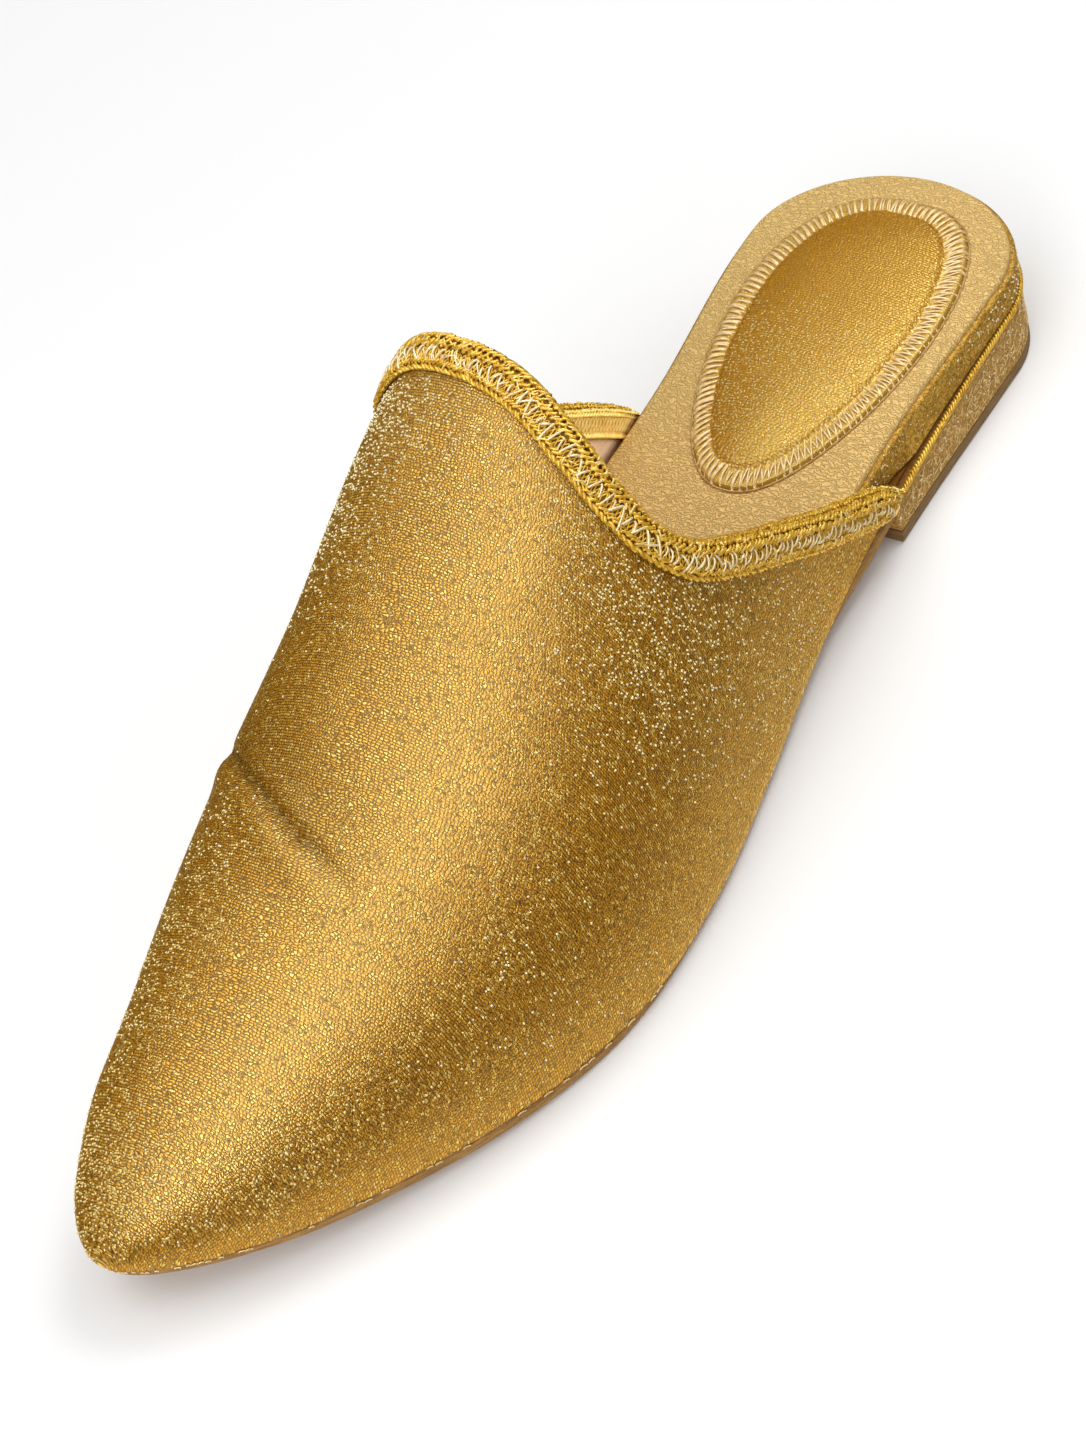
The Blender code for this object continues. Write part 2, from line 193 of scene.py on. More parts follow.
# Crease over the toe joint, from the medial side to the ridge. Its ends are (x, around), and the girth there
# turns around into a length. It grows and fades over shares of its run.
CREASE_START = (183.5 * MM, 0.725)
CREASE_END = (200.5 * MM, 0.43)
CREASE_GIRTH = 128 * MM
CREASE_DEPTH = 1.5 * MM
CREASE_HALF_WIDTH = 1.1 * MM
CREASE_HOLLOW_DEPTH = 0.8 * MM
CREASE_HOLLOW_HALF_WIDTH = 6 * MM
CREASE_HOLLOW_OFFSET = -4 * MM
CREASE_HOLLOW_GROWTH = 0.5
# Share of painted shade in the broad hollow behind the crease
CREASE_HOLLOW_PAINTED_SHADE = 0.30
CREASE_RIDGE_HEIGHT = 1.0 * MM
CREASE_RIDGE_HALF_WIDTH = 2.6 * MM
CREASE_RIDGE_OFFSET = 3.2 * MM
CREASE_GROWS_FROM = -0.35
CREASE_GROWTH = 0.55
CREASE_FADES_TO = 1.16
CREASE_FADING = 0.5

# Flecks: pitches and ranges of sizes in millimetres, strays as shares of the pitch, and chances at a place
BEAD_PITCH = 0.74
FLECK_PITCH = 0.74
FLECK_MOST = 0.27
FLECK_LEAST = 0.003
FLECK_SPAN = (0.012, 0.988)
FLECK_STRAY = 0.16
FLECK_ROW_STRAY = 0.2
FLECK_LENGTH = (0.42, 0.62)
FLECK_WIDTH = (0.40, 0.54)
FLECK_HEIGHT = (0.10, 0.16)
FLECK_LIFT = 0.07
FLECK_TURN = 0.5
FLECK_LEAN = 1.6
FLECK_SIDES = 6
TOE_BEADS = 205 * MM
# Where they lie thick: centre along x in millimetres and around, reach in both, and how thick
ZONES = (
    (128, 0.63, 30, 0.16, 1.5),
    (134, 0.24, 24, 0.15, 1.15),
    (112, 0.05, 25, 0.08, 0.5),
    (204, 0.17, 22, 0.11, 0.25),
    (222, 0.63, 26, 0.13, 1.1),
    (240, 0.22, 18, 0.16, 0.9),
    (256, 0.55, 15, 0.28, 2.4),
)
ZONE_EDGE = 1.5
HEEL_FLECKS = 160
HEEL_FLECK_LOW = 3.2 * MM
HEEL_FLECK_DROP = 2.4 * MM
HEEL_FLECK_OUTSET = 0.3 * MM
RAND_FLECKS = 420
RAND_FLECK_END = 90 * MM
RAND_FLECK_RISE = 1.0 * MM

# Edges of the plates in millimetres: inset and drop under the seat on the sole's shoulder, inset and drop
# under the rebate on the heel's rim, share of the lean and rise on the rand
SOLE_STEPS = 160
SOLE_BEVEL = 0.5 * MM
SOLE_SHOULDER = ((0, 1.2), (0.2, 0.9), (1.0, 0.5), (1.1, 0))
LIFT_BEVEL = 0.4 * MM
HEEL_STEPS = 100
HEEL_WAIST = 5 * MM
HEEL_WAIST_SHARE = 0.6
HEEL_RIM = ((0, 0.7), (0.5, 0.2))
HEEL_NECK = 0.4 * MM
# Share of painted shade on each layer of the heel cover, from the bottom up: its top rim and ledge under the
# rand are painted dark as shadow
HEEL_PAINTED_SHADE = (0, 0, 0, 0.3, 1, 1)
BED_STEPS = 200
RAND_PROFILE = ((0.60, 0), (0.72, 0.4), (0.40, 2.0))
RAND_FREE = 67 * MM
RAND_FLARE_REACH = 9 * MM
SOCK_FOOT = 0.2
SOCK_ROUND = 0.8 * MM
SOCK_ROUND_STEPS = 5

# Heel pad: rings as (first inset, last inset, count) in millimetres, and parts of its height over the sock
PAD_STEPS = 384
PAD_RINGS = ((0, 0.7, 5), (1.2, 9, 22), (10, 20.6, 12))
PAD_LIFT = 0.05 * MM
PAD_BORDER = 3.9 * MM
PAD_EDGE_BASE = 0.25 * MM
PAD_EDGE_RISE = 0.65 * MM
PAD_EDGE_ROUND = 0.7 * MM
PAD_SHOULDER_RISE = 0.45 * MM
PAD_SHOULDER_START = 0.4 * MM
PAD_SHOULDER_REACH = 1.6 * MM
PAD_CROWN_RISE = 2.0 * MM
PAD_CROWN_POWER = 2.4
PAD_PUCKER = 0.16 * MM
PAD_PUCKER_OFFSET = 0.5 * MM
PAD_PUCKER_HALF_WIDTH = 1.2 * MM
PAD_SPARKLE_START = 34 * MM
PAD_SPARKLE_REACH = 20 * MM

# Whip stitches of the pad: shares of their pitch, and ranges and radii in millimetres
PAD_STITCHES = 128
WHIP_POINTS = 11
WHIP_SPREAD = 0.09
WHIP_SLANT = 0.14
WHIP_SLANT_STRAY = 0.09
WHIP_STRAY = 0.06
WHIP_INNER = (-0.6, 0.5)
WHIP_OUTER = (-0.3, 0.5)
WHIP_LIFT = 0.24 * MM
WHIP_SINK = 0.6 * MM
WHIP_EDGE = 0.4 * MM
WHIP_EDGE_LIFT = 0.6 * MM
WHIP_RADIUS = 0.24
WHIP_UNEVEN = (0.75, 1.1)
ZIGZAG_SPREAD = 0.16
ZIGZAG_SLANT = 0.25
ZIGZAG_THINNER = 0.04
ZIGZAG_SIDE = 8 * MM
ZIGZAG_START = 12 * MM
ZIGZAG_REACH = 12 * MM

# Twisted cord along the pad's outer edge
PAD_CORD_POINTS = 420
PAD_CORD_OUTSET = 0.35 * MM
PAD_CORD_PITCH = 1.5 * MM
PAD_CORD_TWIST = 0.14 * MM
PAD_CORD_LIFT = 0.18 * MM
PAD_CORD_RADIUS = 0.17 * MM

# Braid: steps along it, and the sections of its tape and inner band in millimetres, as the way down from
# the edge and the height over the outer face or the depth from the inner face
EDGE_POINTS = 4001
TAPE_STEP = 0.8 * MM
STRAND_STEP = 0.2 * MM
INSIDE = -UPPER_WALL - GAP
TAPE_OUTER = ((5.4, 0.30), (5.4, 0.60), (4.9, 0.80), (2.7, 0.80), (0.6, 0.9), (-0.45, 0.65), (-0.9, 0.0))
TAPE_FOLD = ((-1.05, -1.0), (-0.9, -2.0))
TAPE_INNER = ((0.6, 0.6), (2.7, 0.55), (4.9, 0.55), (5.4, 0.45), (5.4, 0.0))
INNER_BAND = ((0.5, 0.45), (0.5, 0.68), (4.6, 0.68), (4.6, 0.45))

# Fold of the tape over the upper's edge: the middle of the wall, reach to each face, rise and length round
# it. It lies lower towards the medial end: by which share, from where around and over which reach
FOLD_MIDDLE = -UPPER_WALL / 2
FOLD_REACH = 2.0 * MM
FOLD_RISE = 1.0 * MM
FOLD_LENGTH = math.pi * math.sqrt((FOLD_REACH ** 2 + FOLD_RISE ** 2) / 2)
FOLD_DIP = 0.65
FOLD_DIP_START = 0.66
FOLD_DIP_REACH = 0.16
# Share of the edge from which the fold is seen from within
INNER_FOLD_START = 0.70

# Chains round the braid's section in millimetres: middle, half width, strand radius and pitch. Their strands
# swing along the edge by a share of the pitch, draw together at the ends, and stray as (every, by how much).
INNER_CHAINS = ((-4.3, 0.50, 0.23, 2.0),)
FOLD_CHAINS = ((-2.6, 0.60, 0.24, 2.1), (-0.95, 0.62, 0.26, 2.2))
FACE_CHAINS = ((0.80, 0.62, 0.27, 2.2), (4.15, 0.42, 0.22, 1.8))
CHAIN_LOOP = 0.16
CHAIN_TAPER = 9 * MM
CHAIN_END_SIZE = 0.4
CHAIN_MEETING = 1.5 * MM
CHAIN_LIFT = 0.8
CHAIN_WAVE = 0.7
CHAIN_LEAD = 0.6
CHAIN_PHASE_STRAY = (1.2 * MM, 0.07)
CHAIN_SWING_STRAY = (1.1 * MM, 0.20)
CHAIN_WAY_STRAY = (1.3 * MM, 0.12 * MM)
CHAIN_LIFT_STRAY = (0.9 * MM, 0.05 * MM)
CHAIN_RADIUS_STRAY = (0.7 * MM, 0.16)

# Rolled lower edge of the braid: two strands twisted round a line
ROLL_DOWN = 4.95 * MM
ROLL_OUT = 0.70 * MM
ROLL_RADIUS = 0.32 * MM
ROLL_TWIST = 0.24 * MM
ROLL_PITCH = 2.4 * MM
ROLL_DOWN_STRAY = (3 * MM, 0.05 * MM)
ROLL_PHASE_STRAY = (2 * MM, 0.08)
ROLL_RADIUS_STRAY = (1.2 * MM, 0.10)

# Net between the chains, and the cords and net on the inner face: ways down from the edge, heights and radii
THREAD_SHARPNESS = 0.96
NET_STARTS = (0.0, 0.33, 0.66)
NET_HIGH = 1.3 * MM
NET_LOW = 4.2 * MM
NET_OUT = 0.98 * MM
NET_WAVE = 0.14 * MM
NET_RADIUS = 0.15 * MM
NET_PITCH = 2.0 * MM
NET_STRAY = (1.5 * MM, 0.06)
INNER_CORDS = ((0.5 * MM, 0.29 * MM), (4.6 * MM, 0.32 * MM))
INNER_CORD_PITCH = 1.8 * MM
INNER_CORD_DEPTH = 0.85 * MM
INNER_NET_MIDDLE = 2.4
INNER_NET_REACH = 1.7
INNER_NET_PITCH = 2.2 * MM
INNER_NET_DEPTH = 0.74 * MM
INNER_NET_WAVE = 0.08 * MM
INNER_NET_RADIUS = 0.13 * MM

# Pale stitches over the net: pitch, ways down of both ends, height and radius in millimetres, and whether
# they run in a zigzag. The first row is on the lateral side up to a length along the edge.
LATERAL_LACING = 62 * MM
LATERAL_DASHES = (1.5, 1.8, 3.6, 1.3, 0.17, False)
FRONT_DASHES = (1.2, 1.5, 3.8, 1.35, 0.19, True)
DASH_POINTS = 7
DASH_STRAY = 0.18
DASH_LEAN = 0.75
DASH_LEAN_STRAY = 0.5
DASH_END_STRAY = 0.5
DASH_BOW = 0.32 * MM
DASH_SINK = 0.30 * MM
DASH_UNEVEN = (0.75, 1.2)

# Loose pale stitches over the cords: ranges in millimetres, and of the lean in radians
GLINTS = 230
GLINT_POINTS = 7
GLINT_MARGIN = 2 * MM
GLINT_MIDDLE = (-1.0, 4.4)
GLINT_REACH = (0.9, 1.7)
GLINT_LEAN = (0.2, 1.0)
GLINT_LIFT = (0.40, 0.60)
GLINT_BOW = 0.9 * MM
GLINT_BOW_MIDDLE = 0.08
GLINT_RADIUS = (0.13, 0.18)

# Twisted cord round the heel
HEEL_CORD_POINTS = 300
HEEL_CORD_PITCH = 1.6 * MM
HEEL_CORD_TWIST = 0.36 * MM
HEEL_CORD_RADIUS = 0.30 * MM

# Stitches in the seam between upper and sole: places along the outline as shares, ranges in millimetres
SOLE_STITCH_START = 170 * MM
SOLE_STITCH_END = 0.985
SOLE_STITCH_PLACES = 80
SOLE_STITCH_CHANCE = 0.45
SOLE_STITCH_POINTS = 5
SOLE_STITCH_REACH = 0.0022
SOLE_STITCH_UNEVEN = (0.6, 1.2)
SOLE_STITCH_OUTSET = 0.05 * MM
SOLE_STITCH_BOW = 0.2 * MM
SOLE_STITCH_SINK = (0.2, 0.5)
SOLE_STITCH_RADIUS = 0.13 * MM

# Curling fibres on the heel cover: ranges in millimetres, bend in radians
HEEL_FIBRES = 850
FIBRE_POINTS = 7
FIBRE_START = 0.4 * MM
FIBRE_LENGTH = (1.0, 2.2)
FIBRE_BEND = 1.6
FIBRE_RADIUS = (0.06, 0.10)
FIBRE_FOOT = 0.6 * MM
FIBRE_HEAD = 1.0 * MM
FIBRE_LIFT = 0.02 * MM

# Colours, and the pitches of grains in millimetres
# Dark of the cloth's pits, also painted as shadow on the heel cover's ledge
GOLD_PIT_AND_LEDGE_SHADE = (0.16, 0.058, 0.002)
# Grain of the gold cloth: darker in the grooves and lighter on the crests, partly its own tone and partly
# painted shade and painted highlight
GOLD_GROOVE_WITH_SHADE = (0.11, 0.036, 0.001)
GOLD = (0.46, 0.177, 0.002)
GOLD_CREST_WITH_HIGHLIGHT = (0.80, 0.388, 0.018)
GOLD_LIGHT = (1.0, 0.72, 0.18)
GOLD_PALE = (1.0, 0.89, 0.58)
GOLD_SHEEN = (0.93, 0.95, 0.46, 1)
GOLD_IOR = 2.2
GOLD_SPECULAR = 0.75
GLITTER_SHEEN = (1.0, 0.85, 0.55, 1)
THREAD_SHEEN = (1.0, 0.88, 0.58, 1)
PAD_SHEEN = (0.95, 0.82, 0.27, 1)
PAD_SPECULAR = 0.95
PAD_GROOVE = (0.29, 0.098, 0.001)
PAD_GOLD = (0.53, 0.222, 0.003)
PAD_SPARKLE = (1.0, 0.80, 0.38)
PAD_BORDER_DARK = (0.44, 0.23, 0.035)
PAD_BORDER_LIGHT = (0.62, 0.36, 0.07)
SOCK_SHEEN = (1.0, 0.9, 0.7, 1)
SOCK_LIGHT = (0.82, 0.55, 0.20)
SOCK_DARK = (0.50, 0.318, 0.095)
LINING_DARK = (0.86, 0.60, 0.36)
LINING_LIGHT = (0.95, 0.70, 0.46)
ROW_PITCH = 0.48
PAD_PITCH = 0.55
SOCK_PITCH = 0.62
LINING_PITCH = 0.5
# Light and dark colour of cloths and sheets
HEEL_CLOTH = ((0.74, 0.46, 0.15), (0.36, 0.19, 0.04))
RAND_CLOTH = ((0.74, 0.43, 0.07), (0.28, 0.14, 0.013))
SOLE_SHEET = ((0.50, 0.27, 0.075), (0.30, 0.15, 0.035))
LIFT_RUBBER = ((0.30, 0.17, 0.06), (0.18, 0.095, 0.03))
# Threads: light and dark colour, metallic share, roughness and index of refraction
THREADS = {
    "gold_thread": ((1.0, 0.64, 0.09), (0.64, 0.335, 0.014), 0.35, 0.22, 1.9),
    "light_thread": ((1.0, 0.80, 0.34), (0.95, 0.66, 0.18), 0.35, 0.28, 1.7),
    # A lighter copy of the gold thread for the cords inside the shoe: their own yellow, partly painted light
    # where shade falls there
    "inner_thread_painted_light": ((1.0, 0.82, 0.28), (0.98, 0.66, 0.12), 0.15, 0.35, 1.5),
    "inner_band": ((0.86, 0.60, 0.24), (0.70, 0.46, 0.15), 0.1, 0.5, 1.5),
    "pale_thread": ((1.0, 0.90, 0.62), (0.92, 0.72, 0.36), 0.35, 0.32, 1.5),
    "cream_thread": ((1.0, 0.80, 0.47), (0.82, 0.58, 0.25), 0.35, 0.38, 1.5),
    "edge_thread": ((0.60, 0.39, 0.14), (0.42, 0.24, 0.07), 0.2, 0.5, 1.5),
    "braid_tape": ((0.32, 0.165, 0.014), (0.15, 0.07, 0.004), 0.3, 0.45, 1.5),
    "fleck": ((1.0, 0.93, 0.63), (1.0, 0.87, 0.49), 0.0, 0.26, 1.9),
    "fibre": ((0.98, 0.76, 0.37), (0.78, 0.53, 0.20), 0.1, 0.40, 1.5),
    "bead": ((1.0, 0.87, 0.46), (0.95, 0.72, 0.26), 0.15, 0.26, 1.9),
}

# Studio: floor and backdrop in metres; brightness of the room at elevations in degrees, warm and bright far
# below, dark at the horizon and bright overhead
FLOOR_HALF = 3.0
FLOOR_COLOUR = (0.83, 0.83, 0.83, 1)
FLOOR_GLOW = 0.05
BACKDROP_SIDES = 96
BACKDROP_RADIUS = 2.9
BACKDROP_HEIGHT = 3.0
BACKDROP_GLOW = 0.75
BLACK = (0, 0, 0, 1)
WHITE = (1, 1, 1, 1)
SKY = ((-60, 0.95), (-44, 0.74), (-30, 0.07), (10, 0.035), (42, 0.10), (54, 0.52), (74, 0.88))
FLOOR_TINT = (1.0, 0.80, 0.50)
SKY_STRENGTH = 1.34
# Softboxes: azimuth and elevation in degrees, distance and size in metres, power in watts
SOFTBOXES = {
    "softbox_top": (-28, 64, 1.0, 0.65, 2.35),
    "softbox_front": (14, 34, 1.0, 0.5, 3.8),
    "softbox_back": (170, 58, 1.0, 0.4, 3.5),
    "softbox_fill": (125, 32, 1.2, 0.7, 1.8),
    "softbox_inside": (100, 30, 1.2, 0.7, 8.0),
}
# Pieces inside the shoe, which a light of their own reaches
INSIDE_PIECES = (
    "upper_lining", "braid_inner_cords", "braid_inner_band", "braid_inner_chain", "braid_inner_fold",
)


# Curves and faces of the shoe

def smooth(stations, values, at):
    """Values at the given places on a smooth curve through the rows of a table."""
    at = np.asarray(at, float)
    slopes = np.gradient(values, stations)
    row = np.clip(np.searchsorted(stations, at) - 1, 0, len(stations) - 2)
    step = stations[row + 1] - stations[row]
    t = (at - stations[row]) / step
    start, end = values[row], values[row + 1]
    leave, arrive = slopes[row] * step, slopes[row + 1] * step
    bend = 3 * (end - start) - 2 * leave - arrive
    twist = 2 * (start - end) + leave + arrive
    return start + leave * t + bend * t**2 + twist * t**3


def last(name, x):
    """A size from the table of sections, in metres."""
    return smooth(LAST[:, LAST_COLUMNS.index("x")] * MM, LAST[:, LAST_COLUMNS.index(name)] * MM, x)


def fullness(name, x):
    stations = FULLNESS[:, FULLNESS_COLUMNS.index("x")] * MM
    return smooth(stations, FULLNESS[:, FULLNESS_COLUMNS.index(name)], x)


def topline_x(around):
    stations = TOPLINE[:, TOPLINE_COLUMNS.index("around")]
    return smooth(stations, TOPLINE[:, TOPLINE_COLUMNS.index("x")] * MM, around)


def quarter_round(distance, reach):
    """1 away from an end, falling to 0 along a quarter of an ellipse over the last stretch before it."""
    t = np.clip(1 - np.asarray(distance, float) / reach, 0, 1)
    return np.sqrt(np.maximum(1 - t**2, 0))


def ease(t):
    """0 to 1 with a soft start and end."""
    t = np.clip(t, 0, 1)
    return t * t * (3 - 2 * t)


def bell(offset, half_width):
    """1 in the middle, falling softly to 0 on both sides."""
    return np.exp(-((offset / half_width) ** 2))


def unit(vectors):
    return vectors / np.linalg.norm(vectors, axis=-1, keepdims=True)


def raised(plan, height):
    """Plan points, each with its height."""
    return np.concatenate([plan, np.asarray(height)[..., None]], -1)


def run_lengths(points):
    """Lengths along a line of points, from its first point to each."""
    steps = np.linalg.norm(np.diff(points, axis=0), axis=1)
    return np.concatenate([[0], np.cumsum(steps)])


def half_width(x):
    rounded = quarter_round(x, HEEL_ROUND) * quarter_round(SHOE_LENGTH - x, TOE_PLAN_ROUND)
    return last("half_width", x) * rounded


def sole_underside(x):
    return np.maximum(last("sole_z", x), 0)


def seat(x):
    """Top of the outsole and of the heel block."""
    return sole_underside(x) + SOLE_THICKNESS


def bed_top(x):
    return seat(x) + GAP + last("bed_thickness", x)


def sock_top(x):
    return bed_top(x) + GAP + SOCK_THICKNESS


def sole_tuck(x):
    """How far the sole is drawn in under the cloth: 0 at the heel, 1 at the ball and less at the toes."""
    toe = ease((x - TOE_START) / TOE_REACH)
    return ease((x - SOLE_TUCK_START) / SOLE_TUCK_REACH) * (1 - TOE_TUCK_LOSS * toe)


def upper_surface(x, around):
    """Outer face of the upper: a rounded arch at each place along the foot."""
    x, around = np.broadcast_arrays(np.asarray(x, float), np.asarray(around, float))
    lateral = around <= 0.5
    side = np.where(lateral, 1.0, -1.0)
    angle = np.pi * np.where(lateral, around, 1 - around)
    toe = quarter_round(SHOE_LENGTH - x, TOE_PLAN_ROUND)
    centre = last("centre", x)
    ridge_y = centre + (last("ridge_y", x) - centre) * toe
    reach = centre + side * half_width(x) - ridge_y
    power = 2 / np.where(lateral, fullness("lateral", x), fullness("medial", x))
    across = np.maximum(np.cos(angle), 0) ** power
    rise = np.maximum(np.sin(angle), 0) ** power
    swell = side * last("bulge", x) * toe * np.sin(2 * angle)
    bottom = seat(x) + GAP
    height = (last("ridge_z", x) - bottom) * quarter_round(SHOE_LENGTH - x, TOE_TOP_ROUND)
    return np.stack([x, ridge_y + reach * across + swell, bottom + height * rise], -1)


def outward(x, around):
    """Unit normals of the upper's outer face at given places, found from small steps on it."""
    turn = np.clip(around, NUDGE_AROUND, 1 - NUDGE_AROUND)
    along = upper_surface(x + NUDGE_X, turn) - upper_surface(x - NUDGE_X, turn)
    over = upper_surface(x, turn + NUDGE_AROUND) - upper_surface(x, turn - NUDGE_AROUND)
    return unit(np.cross(over, along))


def side_point(t, side):
    """Plan points where the upper meets the sole, t running from the heel (0) to the toe (1)."""
    x = SHOE_LENGTH * (1 - np.cos(np.pi * np.asarray(t, float))) / 2
    return np.stack([x, last("centre", x) + side * half_width(x)], -1)


def along_at(x):
    """The t of side_point at a distance from the back of the heel."""
    return math.acos(1 - 2 * x / SHOE_LENGTH) / math.pi


def side_normal(t, side):
    """Plan normals of the outline, pointing out of the shoe."""
    ahead = side_point(np.minimum(t + NUDGE_ALONG, 1), side)
    behind = side_point(np.maximum(t - NUDGE_ALONG, 0), side)
    tangent = ahead - behind
    return unit(side * np.stack([-tangent[..., 1], tangent[..., 0]], -1))


def outline(start_x, end_x, steps, outset):
    """Plan points of both sides, (2, steps + 1, 2), moved square to the edge by the outset at each x."""
    t = np.linspace(along_at(start_x), along_at(end_x), steps + 1)
    sides = []
    for side in (1, -1):
        points = side_point(t, side)
        sides.append(points + side_normal(t, side) * outset(points[:, 0])[:, None])
    return np.array(sides)


def constant(value):
    return lambda x: np.full(np.shape(x), value)


def above(height, rise):
    return lambda x: height(x) + rise


def bed_edge(inset):
    """Outset of a layer on the footbed, drawn in from the footbed's own edge."""
    return lambda x: -last("bed_inset", x) - inset


def own_shift():
    """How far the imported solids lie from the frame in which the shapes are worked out."""
    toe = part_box("upper")[1]
    pad_low, pad_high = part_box("heel_pad")
    return np.array([toe.x - SHOE_LENGTH, (pad_low.y + pad_high.y) / 2 - PAD_CENTRE, 0])


SHIFT = own_shift()


# Making meshes

def grid_quads(rows, columns, closed=False):
    """Corner numbers of the quads of a grid of points."""
    index = np.arange(rows * columns).reshape(rows, columns)
    if closed:
        index = np.concatenate([index, index[:, :1]], axis=1)
    corners = [index[:-1, :-1], index[:-1, 1:], index[1:, 1:], index[1:, :-1]]
    return np.stack(corners, -1).reshape(-1, 4)


def rings(route, tangents, normals, radius, sides):
    """Circles of points round a route. The radius is one number or one for each point."""
    across = unit(np.cross(tangents, normals))
    up = np.cross(across, tangents)
    turn = np.linspace(0, 2 * np.pi, sides, endpoint=False)[:, None]
    circles = across[:, None] * np.cos(turn) + up[:, None] * np.sin(turn)
    return route[:, None] + circles * np.reshape(radius, (-1, 1, 1))


class Heap:
    """Gathers many small shapes into one mesh."""

    def __init__(self):
        self.points = []
        self.faces = []
        self.count = 0

    def add(self, points, faces):
        points = np.asarray(points).reshape(-1, 3)
        self.points.append(points)
        self.faces.extend((np.asarray(face) + self.count).tolist() for face in faces)
        self.count += len(points)

    def tube(self, route, normals, radius, sides=CORD_SIDES):
        """A round cord along a route, closed at both ends."""
        tangents = unit(np.gradient(route, axis=0))
        quads = grid_quads(len(route), sides, closed=True)[:, ::-1]
        ends = [np.arange(sides)[::-1], np.arange(sides) + (len(route) - 1) * sides]
        self.add(rings(route, tangents, normals, radius, sides), [*quads, *ends])

    def loop(self, route, normals, radius, sides=CORD_SIDES):
        """A round cord whose last point joins its first."""
        tangents = unit(np.roll(route, -1, axis=0) - np.roll(route, 1, axis=0))
        quads = grid_quads(len(route) + 1, sides, closed=True)[:, ::-1] % (len(route) * sides)
        self.add(rings(route, tangents, normals, radius, sides), quads)

    def piece(self, name, material, slot):
        return add_piece(name, np.concatenate(self.points), self.faces, material)


def add_object(name, data):
    thing = bpy.data.objects.new(name, data)
    bpy.context.scene.collection.objects.link(thing)
    return thing


def add_piece(name, points, faces, material):
    """A smooth mesh object that rides with the shoe, from points in the unshifted frame."""
    mesh = bpy.data.meshes.new(name)
    places = np.asarray(points).reshape(-1, 3) + SHIFT
    mesh.from_pydata(places.tolist(), [], [list(face) for face in faces])
    mesh.materials.append(material)
    mesh.shade_smooth()
    piece = add_object(name, mesh)
    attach(piece, "root")
    return piece


def weld(piece, sharp_degrees):
    """Joins points that lie in the same place, turns all faces outward and marks sharp edges."""
    build = bmesh.new()
    build.from_mesh(piece.data)
    bmesh.ops.remove_doubles(build, verts=build.verts, dist=MERGE_DISTANCE)
    bmesh.ops.dissolve_degenerate(build, edges=build.edges, dist=MERGE_DISTANCE)
    bmesh.ops.recalc_face_normals(build, faces=build.faces)
    build.to_mesh(piece.data)
    build.free()
    piece.data.set_sharp_from_angle(angle=math.radians(sharp_degrees))


def set_coordinates(piece, values):
    """Cloth coordinates for a material: two lengths in millimetres and a share of flecks."""
    attribute = piece.data.attributes.new("cloth", "FLOAT_VECTOR", "POINT")
    attribute.data.foreach_set("vector", np.asarray(values, np.float32).ravel())


# Materials

